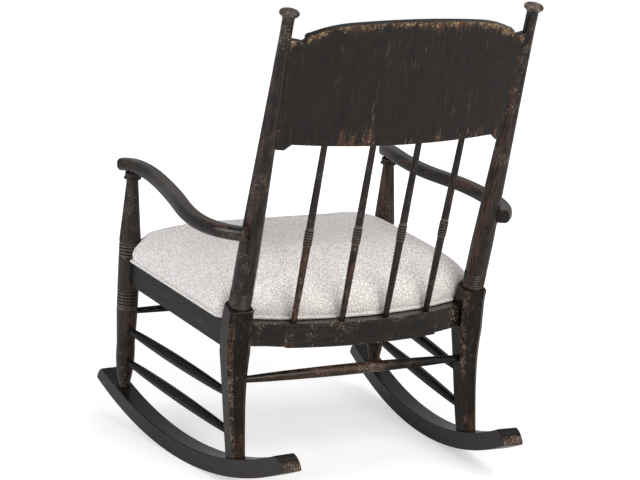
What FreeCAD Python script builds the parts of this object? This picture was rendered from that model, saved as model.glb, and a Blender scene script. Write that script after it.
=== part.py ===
import FreeCAD, Part
import math
import os

# An upholstered rocking chair of turned and sawn wood: two splayed rockers carry turned front
# posts and chamfered rear legs, a sloping seat frame with a tall cushion, and raked back posts
# that hold four spindles and a bowed crest panel. Sizes are millimetres. The sitter faces -Y,
# left is +X, +Z is up, and the origin is on the floor, midway between the points where the
# rockers touch it. Everything on the left is mirrored to the right.

Vector = FreeCAD.Vector
X_AXIS = Vector(1, 0, 0)
Z_AXIS = Vector(0, 0, 1)
ORIGIN = Vector(0, 0, 0)

# Fits that all joints share
joint_clearance = 0.2
cut_overrun = 12.0

# Rockers: arcs of one large circle, further apart at the front than at the back
rocker_radius = 1293.0
rocker_depth = 38.7
rocker_width = 45.0
rocker_front_reach = 470.0
rocker_rear_reach = 474.0
rocker_end_slant = 34.0
rocker_end_bulge = 6.5
rocker_edge_round = 3.0

# Where the legs stand on the rockers, as half the spacing and the distance from the lowest point
front_foot_half_spacing = 322.8
front_foot_y = -357.4
rear_foot_half_spacing = 273.4
rear_foot_y = 220.0
foot_tenon_radius = 9.0
foot_tenon_length = 24.0

# Front posts, turned, leaning back to the underside of the arms
front_post_top_half_spacing = 322.0
front_post_top_y = -277.0
front_post_top_z = 602.0
front_post_radius = 24.9
front_post_foot_radius = 14.7
front_post_calf_radius = 21.2
front_post_neck_radius = 13.8
front_post_collar_radius = 19.5
front_post_foot_height = 12.0
front_post_calf_height = 104.0
front_post_swell_height = 191.0
front_post_lower_rings_height = 199.0
front_post_lower_ring_count = 5
front_post_upper_rings_height = 320.0
front_post_upper_ring_count = 4
front_post_taper_height = 358.0
front_post_neck_height = 494.0
front_post_collar_height = 499.0
front_post_collar_thickness = 9.0
arm_tenon_radius = 9.0
arm_tenon_length = 17.0

# Turned rings: rounded beads side by side with a narrow groove between them
ring_pitch = 7.6
ring_groove_depth = 1.9
ring_groove_width = 2.2

# Rear legs: chamfered square legs that bend back above the rails. Each station is a named height
# with the leg's middle, width, depth and chamfer there.
rear_leg_foot_width = 29.0
rear_leg_foot_depth = 44.0
rear_leg_foot_chamfer = 4.0
rear_leg_shin_z = 180.0
rear_leg_shin_y = 211.5
rear_leg_shin_width = 38.0
rear_leg_shin_depth = 52.0
rear_leg_shin_chamfer = 7.5
rear_leg_knee_z = 234.0
rear_leg_knee_y = 212.5
rear_leg_knee_width = 44.5
rear_leg_knee_depth = 55.0
rear_leg_knee_chamfer = 9.0
rear_leg_rail_z = 284.0
rear_leg_rail_y = 216.8
rear_leg_rail_depth = 62.0
rear_leg_seat_z = 352.0
rear_leg_seat_y = 228.5
rear_leg_width = 52.5
rear_leg_chamfer = 10.0
rear_leg_top_depth = 52.0
rear_leg_top_round = 5.0

# Back posts, turned, raked on top of the rear legs
shoulder_half_spacing = 272.0
shoulder_y = 244.5
shoulder_z = 388.0
finial_half_spacing = 267.2
finial_y = 494.6
finial_z = 1003.2
back_post_ring_radius = 24.2
back_post_base_radius = 23.6
back_post_neck_radius = 12.0
back_post_ring_count = 6
back_post_ring_pitch = 5.8
back_post_ring_lift = 4.0
back_post_base_height = 108.0
back_post_neck_drop = 48.0
back_post_tenon_radius = 13.0
back_post_tenon_length = 62.0
finial_radius = 20.2
finial_flare_height = 11.0
finial_rim_height = 6.5
finial_dome_height = 3.5

# Seat frame: flat rails in one plane that slopes down to the back
seat_plane_z = 367.5
seat_slope_share = 0.09
rail_height = 52.5
rail_thickness = 25.0
side_rail_front_stand_out = 6.6
side_rail_rear_stand_out = 23.7
front_rail_setback = 12.5
rear_rail_thickness = 28.0
rear_rail_end_y = 235.0
rear_rail_crease_y = 263.0
rear_rail_crease_half_width = 174.0
rear_rail_bow = 22.0
rear_rail_end_rise = 3.5
tenon_thickness = 12.0
tenon_height = 36.0
tenon_length = 14.0
corner_block_leg = 62.0
corner_block_height = 30.0
corner_block_drop = 12.0

# Back: four spindles between the rear rail and the crest
crest_bow = 32.0
crest_thickness = 14.0
crest_axis_gap = 5.2
crest_shoulder_low = 370.0
crest_shoulder_high = 610.0
crest_shoulder_step = 25.0
crest_panel_step = 43.0
crest_panel_low = 387.5
crest_corner_high = 623.0
crest_turn_high = 647.6
crest_turn_half_width = 140.0
crest_top_high = 656.4
crest_shelf_drop = 3.0
crest_tenon_thickness = 9.0
crest_tenon_reach = 2.0
spindle_inner_x = 51.0
spindle_outer_x = 154.2
spindle_end_radius = 6.4
spindle_middle_radius = 9.3
spindle_ring_middle = 204.0
spindle_ring_count = 6
spindle_ring_pitch = 6.0
spindle_ring_groove = 2.2
spindle_foot_depth = 18.0
spindle_tip_radius = 4.6
spindle_tip_depth = 16.0

# Stretchers, swelling in the middle
stretcher_end_radius = 7.2
side_stretcher_radius = 12.6
rear_stretcher_radius = 12.4
front_stretcher_radius = 9.5
stretcher_insert = 13.0
stretcher_swell_place_share = 0.25
stretcher_swell_gain_share = 0.75
stretcher_end_bulge_share = 0.1
stretcher_middle_bulge_share = 0.25
upper_stretcher_front_z = 231.0
upper_stretcher_rear_z = 186.0
lower_stretcher_front_z = 154.0
lower_stretcher_rear_z = 105.0
front_stretcher_z = 272.0
rear_stretcher_z = 222.0

# Arms: serpentine in plan and dropping to the back. Stations run from the nose to the back end.
# Each has its distance along the chair, how far it stands out from the straight line between the
# two posts that carry the arm, and how far it rises above the top of the front post.
arm_width = 36.0
arm_thickness = 28.5
arm_edge_round = 10.5
arm_nose_y = -308.0
arm_nose_out = 5.3
arm_nose_rise = 1.5
arm_waist_y = -180.0
arm_waist_out = -2.0
arm_waist_rise = -6.5
arm_fall_y = -60.0
arm_fall_out = 14.9
arm_fall_rise = -22.0
arm_swell_y = 60.0
arm_swell_out = 43.3
arm_swell_rise = -33.5
arm_elbow_y = 180.0
arm_elbow_out = 63.8
arm_elbow_rise = -51.0
arm_hip_y = 262.0
arm_hip_out = 56.6
arm_hip_rise = -60.5
arm_end_y = 333.5
arm_end_out = 21.2
arm_end_rise = -64.5
arm_dowel_radius = 5.0
arm_dowel_length = 34.0

# Seat: plywood board, cushion with its welt, and the dust cover under the frame
seat_board_thickness = 12.0
seat_board_inset = 12.0
seat_front_overhang = 8.0
seat_rear_gap = 7.0
cushion_corner_radius = 14.0
cushion_shoulder_round = 16.0
cushion_turn_round = 24.0
cushion_crown_round = 40.0
cushion_base_inset = 3.0
cushion_bulge = 5.0
cushion_bulge_height = 26.0
cushion_shoulder_height = 49.0
cushion_shoulder_inset = 6.0
cushion_turn_height = 72.0
cushion_turn_inset = 28.0
cushion_crown_height = 97.0
cushion_crown_inset = 72.0
cushion_top_height = 115.0
cushion_top_inset = 150.0
cushion_crease_share = 0.65
cushion_rear_rise_share = 0.13
cushion_gap = 1.2
welt_radius = 4.2
dust_cover_thickness = 1.2
dust_cover_inset = 4.0
seat_screw_radius = 2.2
seat_screw_head_radius = 4.6
seat_screw_head_height = 3.0
seat_screw_length = 51.0

os.makedirs("parts", exist_ok=True)
parts = {}


def keep(name, shape):
    parts[name] = shape


def keep_pair(name, shape):
    parts[name + "_left"] = shape
    parts[name + "_right"] = shape.mirror(ORIGIN, X_AXIS)


def line(start, end):
    return Part.LineSegment(start, end).toShape()


def arc(start, middle, end):
    return Part.Arc(start, middle, end).toShape()


def solid_of(shape):
    """The largest solid of a cut, as a plain solid."""
    return max(shape.Solids, key=lambda solid: solid.Volume)


def along(start, end, share):
    return start.add(end.sub(start).multiply(share))


def on_axis(start, end):
    """Placement that stands a piece turned on +Z along the line from start to end."""
    return FreeCAD.Placement(start, FreeCAD.Rotation(Z_AXIS, end.sub(start)))


def rod(start, end, radius):
    reach = end.sub(start)
    return Part.makeCylinder(radius, reach.Length, start, reach)


# Turned work: an outline of radius against height, revolved about its own axis


class Turning:
    def __init__(self, radius, height):
        self.first = Vector(radius, 0, height)
        self.point = self.first
        self.edges = []

    def line_to(self, radius, height):
        end = Vector(radius, 0, height)
        self.edges.append(line(self.point, end))
        self.point = end

    def arc_to(self, radius, height, bulge):
        """An arc to the given point that stands out from its chord by the bulge."""
        end = Vector(radius, 0, height)
        chord = end.sub(self.point)
        outward = Vector(chord.z, 0, -chord.x).normalize()
        middle = along(self.point, end, 0.5).add(outward.multiply(bulge))
        self.edges.append(arc(self.point, middle, end))
        self.point = end

    def dome_to(self, height):
        """A cap of a ball from the rim to the axis."""
        rise = height - self.point.z
        ball = (self.point.x ** 2 + rise ** 2) / (2 * rise)
        half_chord = math.hypot(self.point.x, rise) / 2
        self.arc_to(0, height, ball - math.sqrt(ball ** 2 - half_chord ** 2))

    def rings(self, radius, pitch, count, groove_depth, groove_width):
        """Rounded beads, each followed by a groove cut below them."""
        for index in range(count):
            bead = pitch - groove_width
            start = self.point.z
            self.arc_to(radius - groove_depth / 2, start + bead, groove_depth / 2)
            self.line_to(radius - groove_depth, start + bead + groove_width / 2)
            self.line_to(radius - groove_depth / 2, start + pitch)

    def solid(self):
        low = Vector(0, 0, self.first.z)
        high = Vector(0, 0, self.point.z)
        edges = [line(low, self.first)] + self.edges + [line(self.point, high), line(high, low)]
        return Part.Face(Part.Wire(edges)).revolve(ORIGIN, Z_AXIS, 360)


# Rockers

rocker_run_x = rear_foot_half_spacing - front_foot_half_spacing
rocker_run_y = rear_foot_y - front_foot_y
rocker_splay = math.atan2(-rocker_run_x, rocker_run_y)
rocker_middle_x = front_foot_half_spacing - rocker_run_x * front_foot_y / rocker_run_y


def rocker_height(y, inner_radius):
    """Height of an arc of the rocker above the floor, at a place along the chair."""
    run = y / math.cos(rocker_splay)
    return rocker_radius - math.sqrt(inner_radius ** 2 - run ** 2)


def rocker_top_z(y):
    return rocker_height(y, rocker_radius - rocker_depth)


def rocker_x(y):
    return rocker_middle_x + rocker_run_x * y / rocker_run_y


def rocker_point(run, radius):
    return Vector(0, run, rocker_radius - math.sqrt(radius ** 2 - run ** 2))


def make_rocker():
    top_radius = rocker_radius - rocker_depth
    front_low = rocker_point(-rocker_front_reach, rocker_radius)
    front_high = rocker_point(rocker_end_slant - rocker_front_reach, top_radius)
    rear_low = rocker_point(rocker_rear_reach, rocker_radius)
    rear_high = rocker_point(rocker_rear_reach - rocker_end_slant, top_radius)
    ends = []
    for low, high, side in ((front_low, front_high, -1), (rear_low, rear_high, 1)):
        chord = high.sub(low)
        outward = Vector(0, chord.z, -chord.y).normalize().multiply(side * rocker_end_bulge)
        ends.append(arc(low, along(low, high, 0.5).add(outward), high))
    outline = Part.Wire([
        arc(front_low, Vector(0, 0, 0), rear_low),
        ends[1],
        arc(rear_high, Vector(0, 0, rocker_depth), front_high),
        ends[0],
    ])
    half = Vector(rocker_width / 2, 0, 0)
    blank = Part.Face(outline).extrude(Vector(rocker_width, 0, 0))
    blank.translate(half.negative())
    blank = blank.makeFillet(rocker_edge_round, blank.Edges)
    blank.rotate(ORIGIN, Z_AXIS, math.degrees(rocker_splay))
    blank.translate(Vector(rocker_middle_x, 0, 0))
    return solid_of(blank)


rocker = make_rocker()


# Front posts: foot, swelling calf, two sets of rings, long taper, neck and collar

front_foot = Vector(front_foot_half_spacing, front_foot_y, rocker_top_z(front_foot_y))
front_top = Vector(front_post_top_half_spacing, front_post_top_y, front_post_top_z)
front_post_length = front_top.sub(front_foot).Length


def make_front_post():
    turning = Turning(front_post_foot_radius, -cut_overrun)
    turning.line_to(front_post_foot_radius, front_post_foot_height)
    turning.arc_to(front_post_calf_radius, front_post_calf_height, front_post_foot_height / 4)
    turning.line_to(front_post_radius, front_post_swell_height)
    turning.line_to(front_post_radius - ring_groove_depth / 2, front_post_lower_rings_height)
    turning.rings(front_post_radius, ring_pitch, front_post_lower_ring_count,
                  ring_groove_depth, ring_groove_width)
    turning.line_to(front_post_radius, turning.point.z + ring_groove_width)
    turning.line_to(front_post_radius, front_post_upper_rings_height - ring_groove_width)
    turning.line_to(front_post_radius - ring_groove_depth / 2, front_post_upper_rings_height)
    turning.rings(front_post_radius, ring_pitch, front_post_upper_ring_count,
                  ring_groove_depth, ring_groove_width)
    turning.line_to(front_post_radius, front_post_taper_height)
    turning.line_to(front_post_neck_radius, front_post_neck_height)
    turning.line_to(front_post_neck_radius, front_post_collar_height)
    turning.arc_to(front_post_collar_radius, front_post_collar_height
                   + front_post_collar_thickness / 2, -ring_groove_depth)
    turning.arc_to(front_post_collar_radius - ring_groove_depth, front_post_collar_height
                   + front_post_collar_thickness, front_post_collar_thickness / 6)
    turning.line_to(front_post_collar_radius - ring_groove_depth, front_post_length)
    turning.line_to(arm_tenon_radius, front_post_length)
    turning.line_to(arm_tenon_radius, front_post_length + arm_tenon_length)
    body = turning.solid()
    body.Placement = on_axis(front_foot, front_top)
    return solid_of(body.cut(rocker))


def foot_tenon(foot, top, radius, length):
    """A round tenon under a leg, reaching a little up into the leg it belongs to."""
    upward = top.sub(foot).normalize()
    low = foot.sub(Vector(upward).multiply(length))
    return rod(low, foot.add(Vector(upward).multiply(cut_overrun)), radius)


front_post = make_front_post()
front_post = front_post.fuse(foot_tenon(front_foot, front_top, foot_tenon_radius, foot_tenon_length))
front_post = front_post.removeSplitter()


# Rear legs: lofted through chamfered sections and cut square to the raked back post

rear_foot = Vector(rear_foot_half_spacing, rear_foot_y, rocker_top_z(rear_foot_y))
shoulder = Vector(shoulder_half_spacing, shoulder_y, shoulder_z)
finial_point = Vector(finial_half_spacing, finial_y, finial_z)
rake = finial_point.sub(shoulder).normalize()


def rear_leg_x(z):
    share = (z - rear_foot.z) / (shoulder.z - rear_foot.z)
    return rear_foot.x + (shoulder.x - rear_foot.x) * share


def leg_corners(centre, width, depth, chamfer):
    """Corners of a chamfered section of the rear leg, level and in order."""
    across = width / 2
    back = depth / 2
    corners = [
        (across, back - chamfer), (across - chamfer, back),
        (chamfer - across, back), (-across, back - chamfer),
        (-across, chamfer - back), (chamfer - across, -back),
        (across - chamfer, -back), (across, chamfer - back),
    ]
    return [centre.add(Vector(i, j, 0)) for i, j in corners]


def closed(points):
    return Part.makePolygon(points + points[:1])


def block_between(low, high):
    """A block with flat sides between two sections that have parallel edges."""
    faces = [Part.Face(closed(low)), Part.Face(closed(high))]
    for index, corner in enumerate(low):
        after = (index + 1) % len(low)
        faces.append(Part.Face(closed([corner, low[after], high[after], high[index]])))
    block = Part.makeSolid(Part.makeShell(faces))
    return block if block.Volume > 0 else block.reversed()


def leg_centre(y, z):
    return Vector(rear_leg_x(z), y, z)


leg_rail = leg_centre(rear_leg_rail_y, rear_leg_rail_z)
leg_seat = leg_centre(rear_leg_seat_y, rear_leg_seat_z)
leg_top = shoulder.add(Vector(rake).multiply(rear_leg_top_depth))


def upper_leg(gap):
    """The leg's flat-sided part, from under the rails to above the shoulder, with a gap."""
    grow = 2 * gap
    rail_width = rear_leg_width + grow
    rail_depth = rear_leg_rail_depth + grow
    low = leg_corners(leg_rail, rail_width, rail_depth, rear_leg_chamfer)
    seat = leg_corners(leg_seat, rail_width, rail_depth, rear_leg_chamfer)
    high = leg_corners(leg_top, rail_width, rear_leg_top_depth + grow, rear_leg_chamfer)
    return block_between(low, seat).fuse(block_between(seat, high)).removeSplitter()


def make_rear_leg():
    sections = [
        leg_corners(leg_centre(rear_foot_y, rear_foot.z - cut_overrun), rear_leg_foot_width,
                    rear_leg_foot_depth, rear_leg_foot_chamfer),
        leg_corners(leg_centre(rear_leg_shin_y, rear_leg_shin_z), rear_leg_shin_width,
                    rear_leg_shin_depth, rear_leg_shin_chamfer),
        leg_corners(leg_centre(rear_leg_knee_y, rear_leg_knee_z), rear_leg_knee_width,
                    rear_leg_knee_depth, rear_leg_knee_chamfer),
        leg_corners(leg_rail, rear_leg_width, rear_leg_rail_depth, rear_leg_chamfer),
    ]
    shin = Part.makeLoft([closed(section) for section in sections], True, False)
    leg = shin.fuse(upper_leg(0))
    reach = shoulder_z
    above_cut = Part.makeBox(reach, reach, reach, Vector(-reach / 2, -reach / 2, 0))
    above_cut.Placement = on_axis(shoulder, finial_point).multiply(above_cut.Placement)
    leg = solid_of(leg.cut(above_cut))
    rim = [edge for edge in leg.Edges
           if all(abs(vertex.Point.sub(shoulder).dot(rake)) < joint_clearance
                  for vertex in edge.Vertexes)]
    leg = leg.makeFillet(rear_leg_top_round, rim)
    leg = solid_of(leg.cut(rocker))
    leg_up = Vector(rear_foot.x, rear_foot.y, shoulder_z)
    return leg.fuse(foot_tenon(rear_foot, leg_up, foot_tenon_radius, foot_tenon_length))


rear_leg = make_rear_leg()


# Back posts: rings at the base, a long taper and a button finial

back_post_length = finial_point.sub(shoulder).Length


def make_back_post():
    turning = Turning(back_post_tenon_radius, -back_post_tenon_length)
    turning.line_to(back_post_tenon_radius, 0)
    turning.line_to(back_post_base_radius - ring_groove_depth, 0)
    turning.line_to(back_post_base_radius - ring_groove_depth / 2, back_post_ring_lift)
    turning.rings(back_post_ring_radius, back_post_ring_pitch, back_post_ring_count,
                  ring_groove_depth, ring_groove_width)
    turning.line_to(back_post_base_radius, turning.point.z + ring_groove_width)
    turning.line_to(back_post_base_radius, back_post_base_height)
    turning.line_to(back_post_neck_radius, back_post_length - back_post_neck_drop)
    turning.line_to(back_post_neck_radius, back_post_length - finial_flare_height
                    - finial_rim_height / 2)
    turning.arc_to(finial_radius - finial_rim_height / 4, back_post_length
                   - finial_rim_height / 2, -finial_dome_height / 2)
    turning.arc_to(finial_radius - finial_rim_height / 4, back_post_length
                   + finial_rim_height / 2, finial_rim_height / 4)
    turning.dome_to(back_post_length + finial_rim_height / 2 + finial_dome_height)
    low = Vector(0, 0, turning.first.z)
    edges = [line(low, turning.first)] + turning.edges + [line(turning.point, low)]
    body = Part.Face(Part.Wire(edges)).revolve(ORIGIN, Z_AXIS, 360)
    body.Placement = on_axis(shoulder, finial_point)
    return body


back_post = make_back_post()
post_socket = rod(shoulder.sub(Vector(rake).multiply(back_post_tenon_length + joint_clearance)),
                  shoulder.add(rake), back_post_tenon_radius + joint_clearance)
rear_leg = rear_leg.cut(post_socket)


# Seat frame. Rails are drawn flat, x across and y along the slope, with their tops at zero.

seat_slope = math.atan(seat_slope_share)
seat_place = FreeCAD.Placement(Vector(0, 0, seat_plane_z),
                               FreeCAD.Rotation(X_AXIS, -math.degrees(seat_slope)))


def flat_point(point):
    """A point of the chair, measured in the seat plane."""
    return seat_place.inverse().multVec(point)


def place_on_seat(shape):
    placed = shape.copy()
    placed.Placement = seat_place.multiply(placed.Placement)
    return placed


def axis_at_seat(low, high, depth=0.0):
    """Where a leg's axis crosses the seat plane, or a level below it."""
    a = flat_point(low)
    b = flat_point(high)
    return along(a, b, (-depth - a.z) / (b.z - a.z))


def slab(outline, bottom, top):
    """A flat piece between two levels, from the corners of its outline."""
    points = [Vector(x, y, bottom) for x, y in outline]
    face = Part.Face(Part.makePolygon(points + points[:1]))
    return face.extrude(Vector(0, 0, top - bottom))


front_axis = axis_at_seat(front_foot, front_top, rail_height / 2)
rear_axis = axis_at_seat(leg_rail, leg_seat, rail_height / 2)

side_front = Vector(front_axis.x + side_rail_front_stand_out, front_axis.y, 0)
side_rear = Vector(rear_axis.x + side_rail_rear_stand_out, rear_axis.y, 0)
side_run = side_rear.sub(side_front).normalize()
side_inward = Vector(-side_run.y, side_run.x, 0)
tenon_level = -rail_height / 2


def bar(middle, run, length, thickness, low, high):
    """A straight bar centred on a line in the seat plane."""
    side = Vector(-run.y, run.x, 0).multiply(thickness / 2)
    a = middle.sub(Vector(run).multiply(length / 2))
    b = middle.add(Vector(run).multiply(length / 2))
    corners = [a.add(side), b.add(side), b.sub(side), a.sub(side)]
    return slab([(point.x, point.y) for point in corners], low, high)


def side_rail_line(share):
    """A point on the middle line of the left side rail."""
    outer = along(side_front, side_rear, share)
    return outer.add(Vector(side_inward).multiply(rail_thickness / 2))


side_middle = side_rail_line(0.5)
side_length = side_rear.sub(side_front).Length
rail_body = bar(side_middle, side_run, side_length, rail_thickness, -rail_height, 0)

front_post_plain = rod(front_foot, front_top, front_post_radius + joint_clearance)
leg_clear = upper_leg(joint_clearance)


def shaved(piece, tool):
    """A piece cut back to another one, with the joint clearance left between them."""
    return solid_of(piece.cut(tool))


rail_joint_low = tenon_level - tenon_height / 2
rail_joint_high = tenon_level + tenon_height / 2


def tenon_at(point, run, into, thickness_gap):
    """A tenon block centred on a point at a leg's face, reaching into it and back into the rail."""
    back = corner_block_drop
    middle = point.add(Vector(run).multiply((into - back) / 2))
    return bar(middle, run, into + back, tenon_thickness + 2 * thickness_gap,
               rail_joint_low - thickness_gap, rail_joint_high + thickness_gap)


side_front_face = side_rail_line(0).add(Vector(side_run).multiply(
    math.sqrt(front_post_radius ** 2 - (front_axis.x - side_rail_line(0).x) ** 2)))
side_rear_face = side_rail_line(1).sub(Vector(side_run).multiply(rear_leg_rail_depth / 2))


def make_side_rail():
    body = place_on_seat(rail_body)
    body = shaved(body, front_post_plain)
    body = shaved(body, leg_clear)
    front_tenon = place_on_seat(tenon_at(side_front_face, side_run.negative(), tenon_length, 0))
    rear_tenon = place_on_seat(tenon_at(side_rear_face, side_run, tenon_length, 0))
    return body.fuse([front_tenon, rear_tenon]).removeSplitter()


side_rail = make_side_rail()
front_post = front_post.cut(place_on_seat(
    tenon_at(side_front_face, side_run.negative(), tenon_length + joint_clearance,
             joint_clearance)))
rear_leg = rear_leg.cut(place_on_seat(
    tenon_at(side_rear_face, side_run, tenon_length + joint_clearance, joint_clearance)))

front_rail_y = front_axis.y + front_rail_setback - rail_thickness / 2
front_rail_face = Vector(front_axis.x - front_post_radius, front_rail_y, 0)


def make_front_rail():
    body = slab([(-front_axis.x, front_rail_y - rail_thickness / 2),
                 (front_axis.x, front_rail_y - rail_thickness / 2),
                 (front_axis.x, front_rail_y + rail_thickness / 2),
                 (-front_axis.x, front_rail_y + rail_thickness / 2)], -rail_height, 0)
    body = place_on_seat(body)
    body = shaved(body, front_post_plain)
    body = shaved(body, front_post_plain.mirror(ORIGIN, X_AXIS))
    tenon = place_on_seat(tenon_at(front_rail_face, X_AXIS, tenon_length, 0))
    return body.fuse([tenon, tenon.mirror(ORIGIN, X_AXIS)]).removeSplitter()


front_rail = make_front_rail()
front_post = front_post.cut(place_on_seat(
    tenon_at(front_rail_face, X_AXIS, tenon_length + joint_clearance, joint_clearance)))

# Rear rail: straight ends that turn in to the legs, and a bowed middle with the spindles

rear_end = Vector(rear_axis.x - rear_leg_width / 2, rear_rail_end_y, 0)
rear_crease = Vector(rear_rail_crease_half_width, rear_rail_crease_y, 0)
rear_middle_y = rear_rail_crease_y + rear_rail_bow
rear_end_run = rear_end.sub(rear_crease).normalize()
bow_radius = (rear_rail_crease_half_width ** 2 + rear_rail_bow ** 2) / (2 * rear_rail_bow)


def bowed_y(x, inset):
    """The bowed middle of the rear rail, a distance in from its outer face."""
    centre = rear_middle_y - bow_radius
    return centre + math.sqrt((bow_radius - inset) ** 2 - x ** 2)


def mirrored(point):
    return Vector(-point.x, point.y, point.z)


def rear_line(inset, end_reach, level):
    """Edges of the rear rail's plan at an inset: end, bow, end, from +X to -X."""
    inward = Vector(rear_end_run.y, -rear_end_run.x, 0).multiply(inset)
    end = rear_end.add(inward).add(Vector(rear_end_run).multiply(end_reach))
    crease = Vector(rear_crease.x, bowed_y(rear_crease.x, inset), 0)
    lift = Vector(0, 0, level)
    points = [end.add(lift), crease.add(lift)]
    middle = Vector(0, rear_middle_y - inset, level)
    return [line(points[0], points[1]), arc(points[1], middle, mirrored(points[1])),
            line(mirrored(points[1]), mirrored(points[0]))], points[0]


def make_rear_rail():
    outer, outer_end = rear_line(0, cut_overrun, -rail_height)
    inner, inner_end = rear_line(rear_rail_thickness, cut_overrun, -rail_height)
    wire = Part.Wire(Part.sortEdges(outer + [line(mirrored(outer_end), mirrored(inner_end))]
                                    + inner + [line(inner_end, outer_end)])[0])
    body = Part.Face(wire).extrude(Vector(0, 0, rail_height))
    reach = rear_rail_crease_half_width
    for side in (1, -1):
        step = Part.makeBox(reach, 2 * reach, rear_rail_end_rise + cut_overrun)
        step.translate(Vector(reach if side > 0 else -2 * reach, rear_rail_crease_y - reach,
                              -rail_height - cut_overrun))
        body = solid_of(body.cut(step))
    body = place_on_seat(body)
    body = shaved(body, leg_clear)
    return shaved(body, leg_clear.mirror(ORIGIN, X_AXIS))


rear_tenon_point = rear_end.add(Vector(rear_end_run.y, -rear_end_run.x, 0).multiply(
    rear_rail_thickness / 2))
rear_rail = make_rear_rail()
rear_rail_tenon = place_on_seat(tenon_at(rear_tenon_point, rear_end_run, tenon_length, 0))
rear_rail = rear_rail.fuse([rear_rail_tenon, rear_rail_tenon.mirror(ORIGIN, X_AXIS)])
rear_leg = rear_leg.cut(place_on_seat(
    tenon_at(rear_tenon_point, rear_end_run, tenon_length + joint_clearance, joint_clearance)))


# Crest: a bowed panel with sawn shoulders, drawn in the raked plane of the back posts.
# There x is across, y is square to the panel and z runs up the posts from the leg's shoulder.

back_lean = math.atan2(finial_y - shoulder_y, finial_z - shoulder_z)
back_place = FreeCAD.Placement(Vector(0, shoulder_y, shoulder_z),
                               FreeCAD.Rotation(X_AXIS, -math.degrees(back_lean)))
crest_half_width = finial_half_spacing - crest_axis_gap
crest_shoulder_half_width = crest_half_width - crest_shoulder_step
crest_panel_half_width = crest_half_width - crest_panel_step
crest_radius = (crest_half_width ** 2 + crest_bow ** 2) / (2 * crest_bow)
crest_centre_y = crest_bow - crest_radius


def crest_y(x):
    return crest_centre_y + math.sqrt(crest_radius ** 2 - x ** 2)


def crest_sheet(thickness, low, high, half_width):
    """The bowed sheet that the crest is sawn from."""
    edges = []
    for offset, sign in ((thickness / 2, 1), (-thickness / 2, -1)):
        radius = crest_radius + offset
        edge_y = crest_centre_y + math.sqrt(radius ** 2 - half_width ** 2)
        middle = Vector(0, crest_centre_y + radius, low)
        edges.append(arc(Vector(sign * half_width, edge_y, low), middle,
                         Vector(-sign * half_width, edge_y, low)))
    ends = [edge.Vertexes for edge in edges]
    joins = [line(ends[0][1].Point, ends[1][0].Point), line(ends[1][1].Point, ends[0][0].Point)]
    wire = Part.Wire(Part.sortEdges(edges + joins)[0])
    return Part.Face(wire).extrude(Vector(0, 0, high - low))


def arc_leaving(start, heading, end):
    """An arc that leaves its start in the given direction."""
    chord = end.sub(start)
    chord_run = Vector(chord).normalize()
    turn = math.acos(heading.dot(chord_run))
    outward = heading.sub(Vector(chord_run).multiply(heading.dot(chord_run))).normalize()
    bulge = chord.Length / 2 * math.tan(turn / 2)
    return arc(start, along(start, end, 0.5).add(outward.multiply(bulge)), end)


def crest_outline():
    """Half outlines of the panel, mirrored and joined, as seen square to the panel."""
    def at(x, z):
        return Vector(x, 0, z)

    shelf = crest_shoulder_high - crest_shelf_drop
    ogee_x = (crest_shoulder_half_width + crest_panel_half_width) / 2
    ogee_z = (shelf + crest_corner_high) / 2
    swell = (crest_shoulder_half_width - crest_panel_half_width) / 6
    top_rise = crest_top_high - crest_turn_high
    top_radius = (crest_turn_half_width ** 2 + top_rise ** 2) / (2 * top_rise)
    top_angle = math.asin(crest_turn_half_width / top_radius)
    heading = Vector(math.cos(top_angle), 0, -math.sin(top_angle))
    cove_z = (crest_shoulder_low + crest_panel_low) / 2
    right = [
        line(at(crest_half_width, shelf + crest_shelf_drop), at(crest_shoulder_half_width, shelf)),
        arc(at(crest_shoulder_half_width, shelf),
            at((crest_shoulder_half_width + ogee_x) / 2 - swell, (shelf + ogee_z) / 2 - swell),
            at(ogee_x, ogee_z)),
        arc(at(ogee_x, ogee_z),
            at((crest_panel_half_width + ogee_x) / 2 + swell / 2,
               (crest_corner_high + ogee_z) / 2 + swell / 2),
            at(crest_panel_half_width, crest_corner_high)),
        arc_leaving(at(crest_turn_half_width, crest_turn_high), heading,
                    at(crest_panel_half_width, crest_corner_high)),
    ]
    low = [
        line(at(crest_half_width, crest_shoulder_low),
             at(crest_shoulder_half_width, crest_shoulder_low)),
        arc(at(crest_shoulder_half_width, crest_shoulder_low),
            at(crest_panel_half_width + swell * 2, cove_z + swell),
            at(crest_panel_half_width, crest_panel_low)),
    ]
    side = line(at(crest_half_width, crest_shoulder_low),
                at(crest_half_width, shelf + crest_shelf_drop))
    half = right + low + [side]
    other = [edge.mirror(ORIGIN, X_AXIS) for edge in half]
    top = arc(at(crest_turn_half_width, crest_turn_high), at(0, crest_top_high),
              at(-crest_turn_half_width, crest_turn_high))
    bottom = line(at(crest_panel_half_width, crest_panel_low),
                  at(-crest_panel_half_width, crest_panel_low))
    return Part.Wire(Part.sortEdges(half + other + [top, bottom])[0])


def place_on_back(shape):
    placed = shape.copy()
    placed.Placement = back_place.multiply(placed.Placement)
    return placed


def back_point(x, y, z):
    return back_place.multVec(Vector(x, y, z))


def post_radius_at(height):
    """Radius of the back post's taper, a height up from the shoulder."""
    low = back_post_base_height
    high = back_post_length - back_post_neck_drop
    share = (height - low) / (high - low)
    return back_post_base_radius + (back_post_neck_radius - back_post_base_radius) * share


def tapered_clear(gap):
    """The back post's taper with a gap all round, for the pieces that are scribed to it."""
    low = back_post_base_height
    high = back_post_length - back_post_neck_drop
    cone = Part.makeCone(post_radius_at(low) + gap, post_radius_at(high) + gap, high - low,
                         Vector(0, 0, low), Z_AXIS)
    cone.Placement = on_axis(shoulder, finial_point).multiply(cone.Placement)
    return cone


taper_clear = tapered_clear(joint_clearance)


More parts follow.
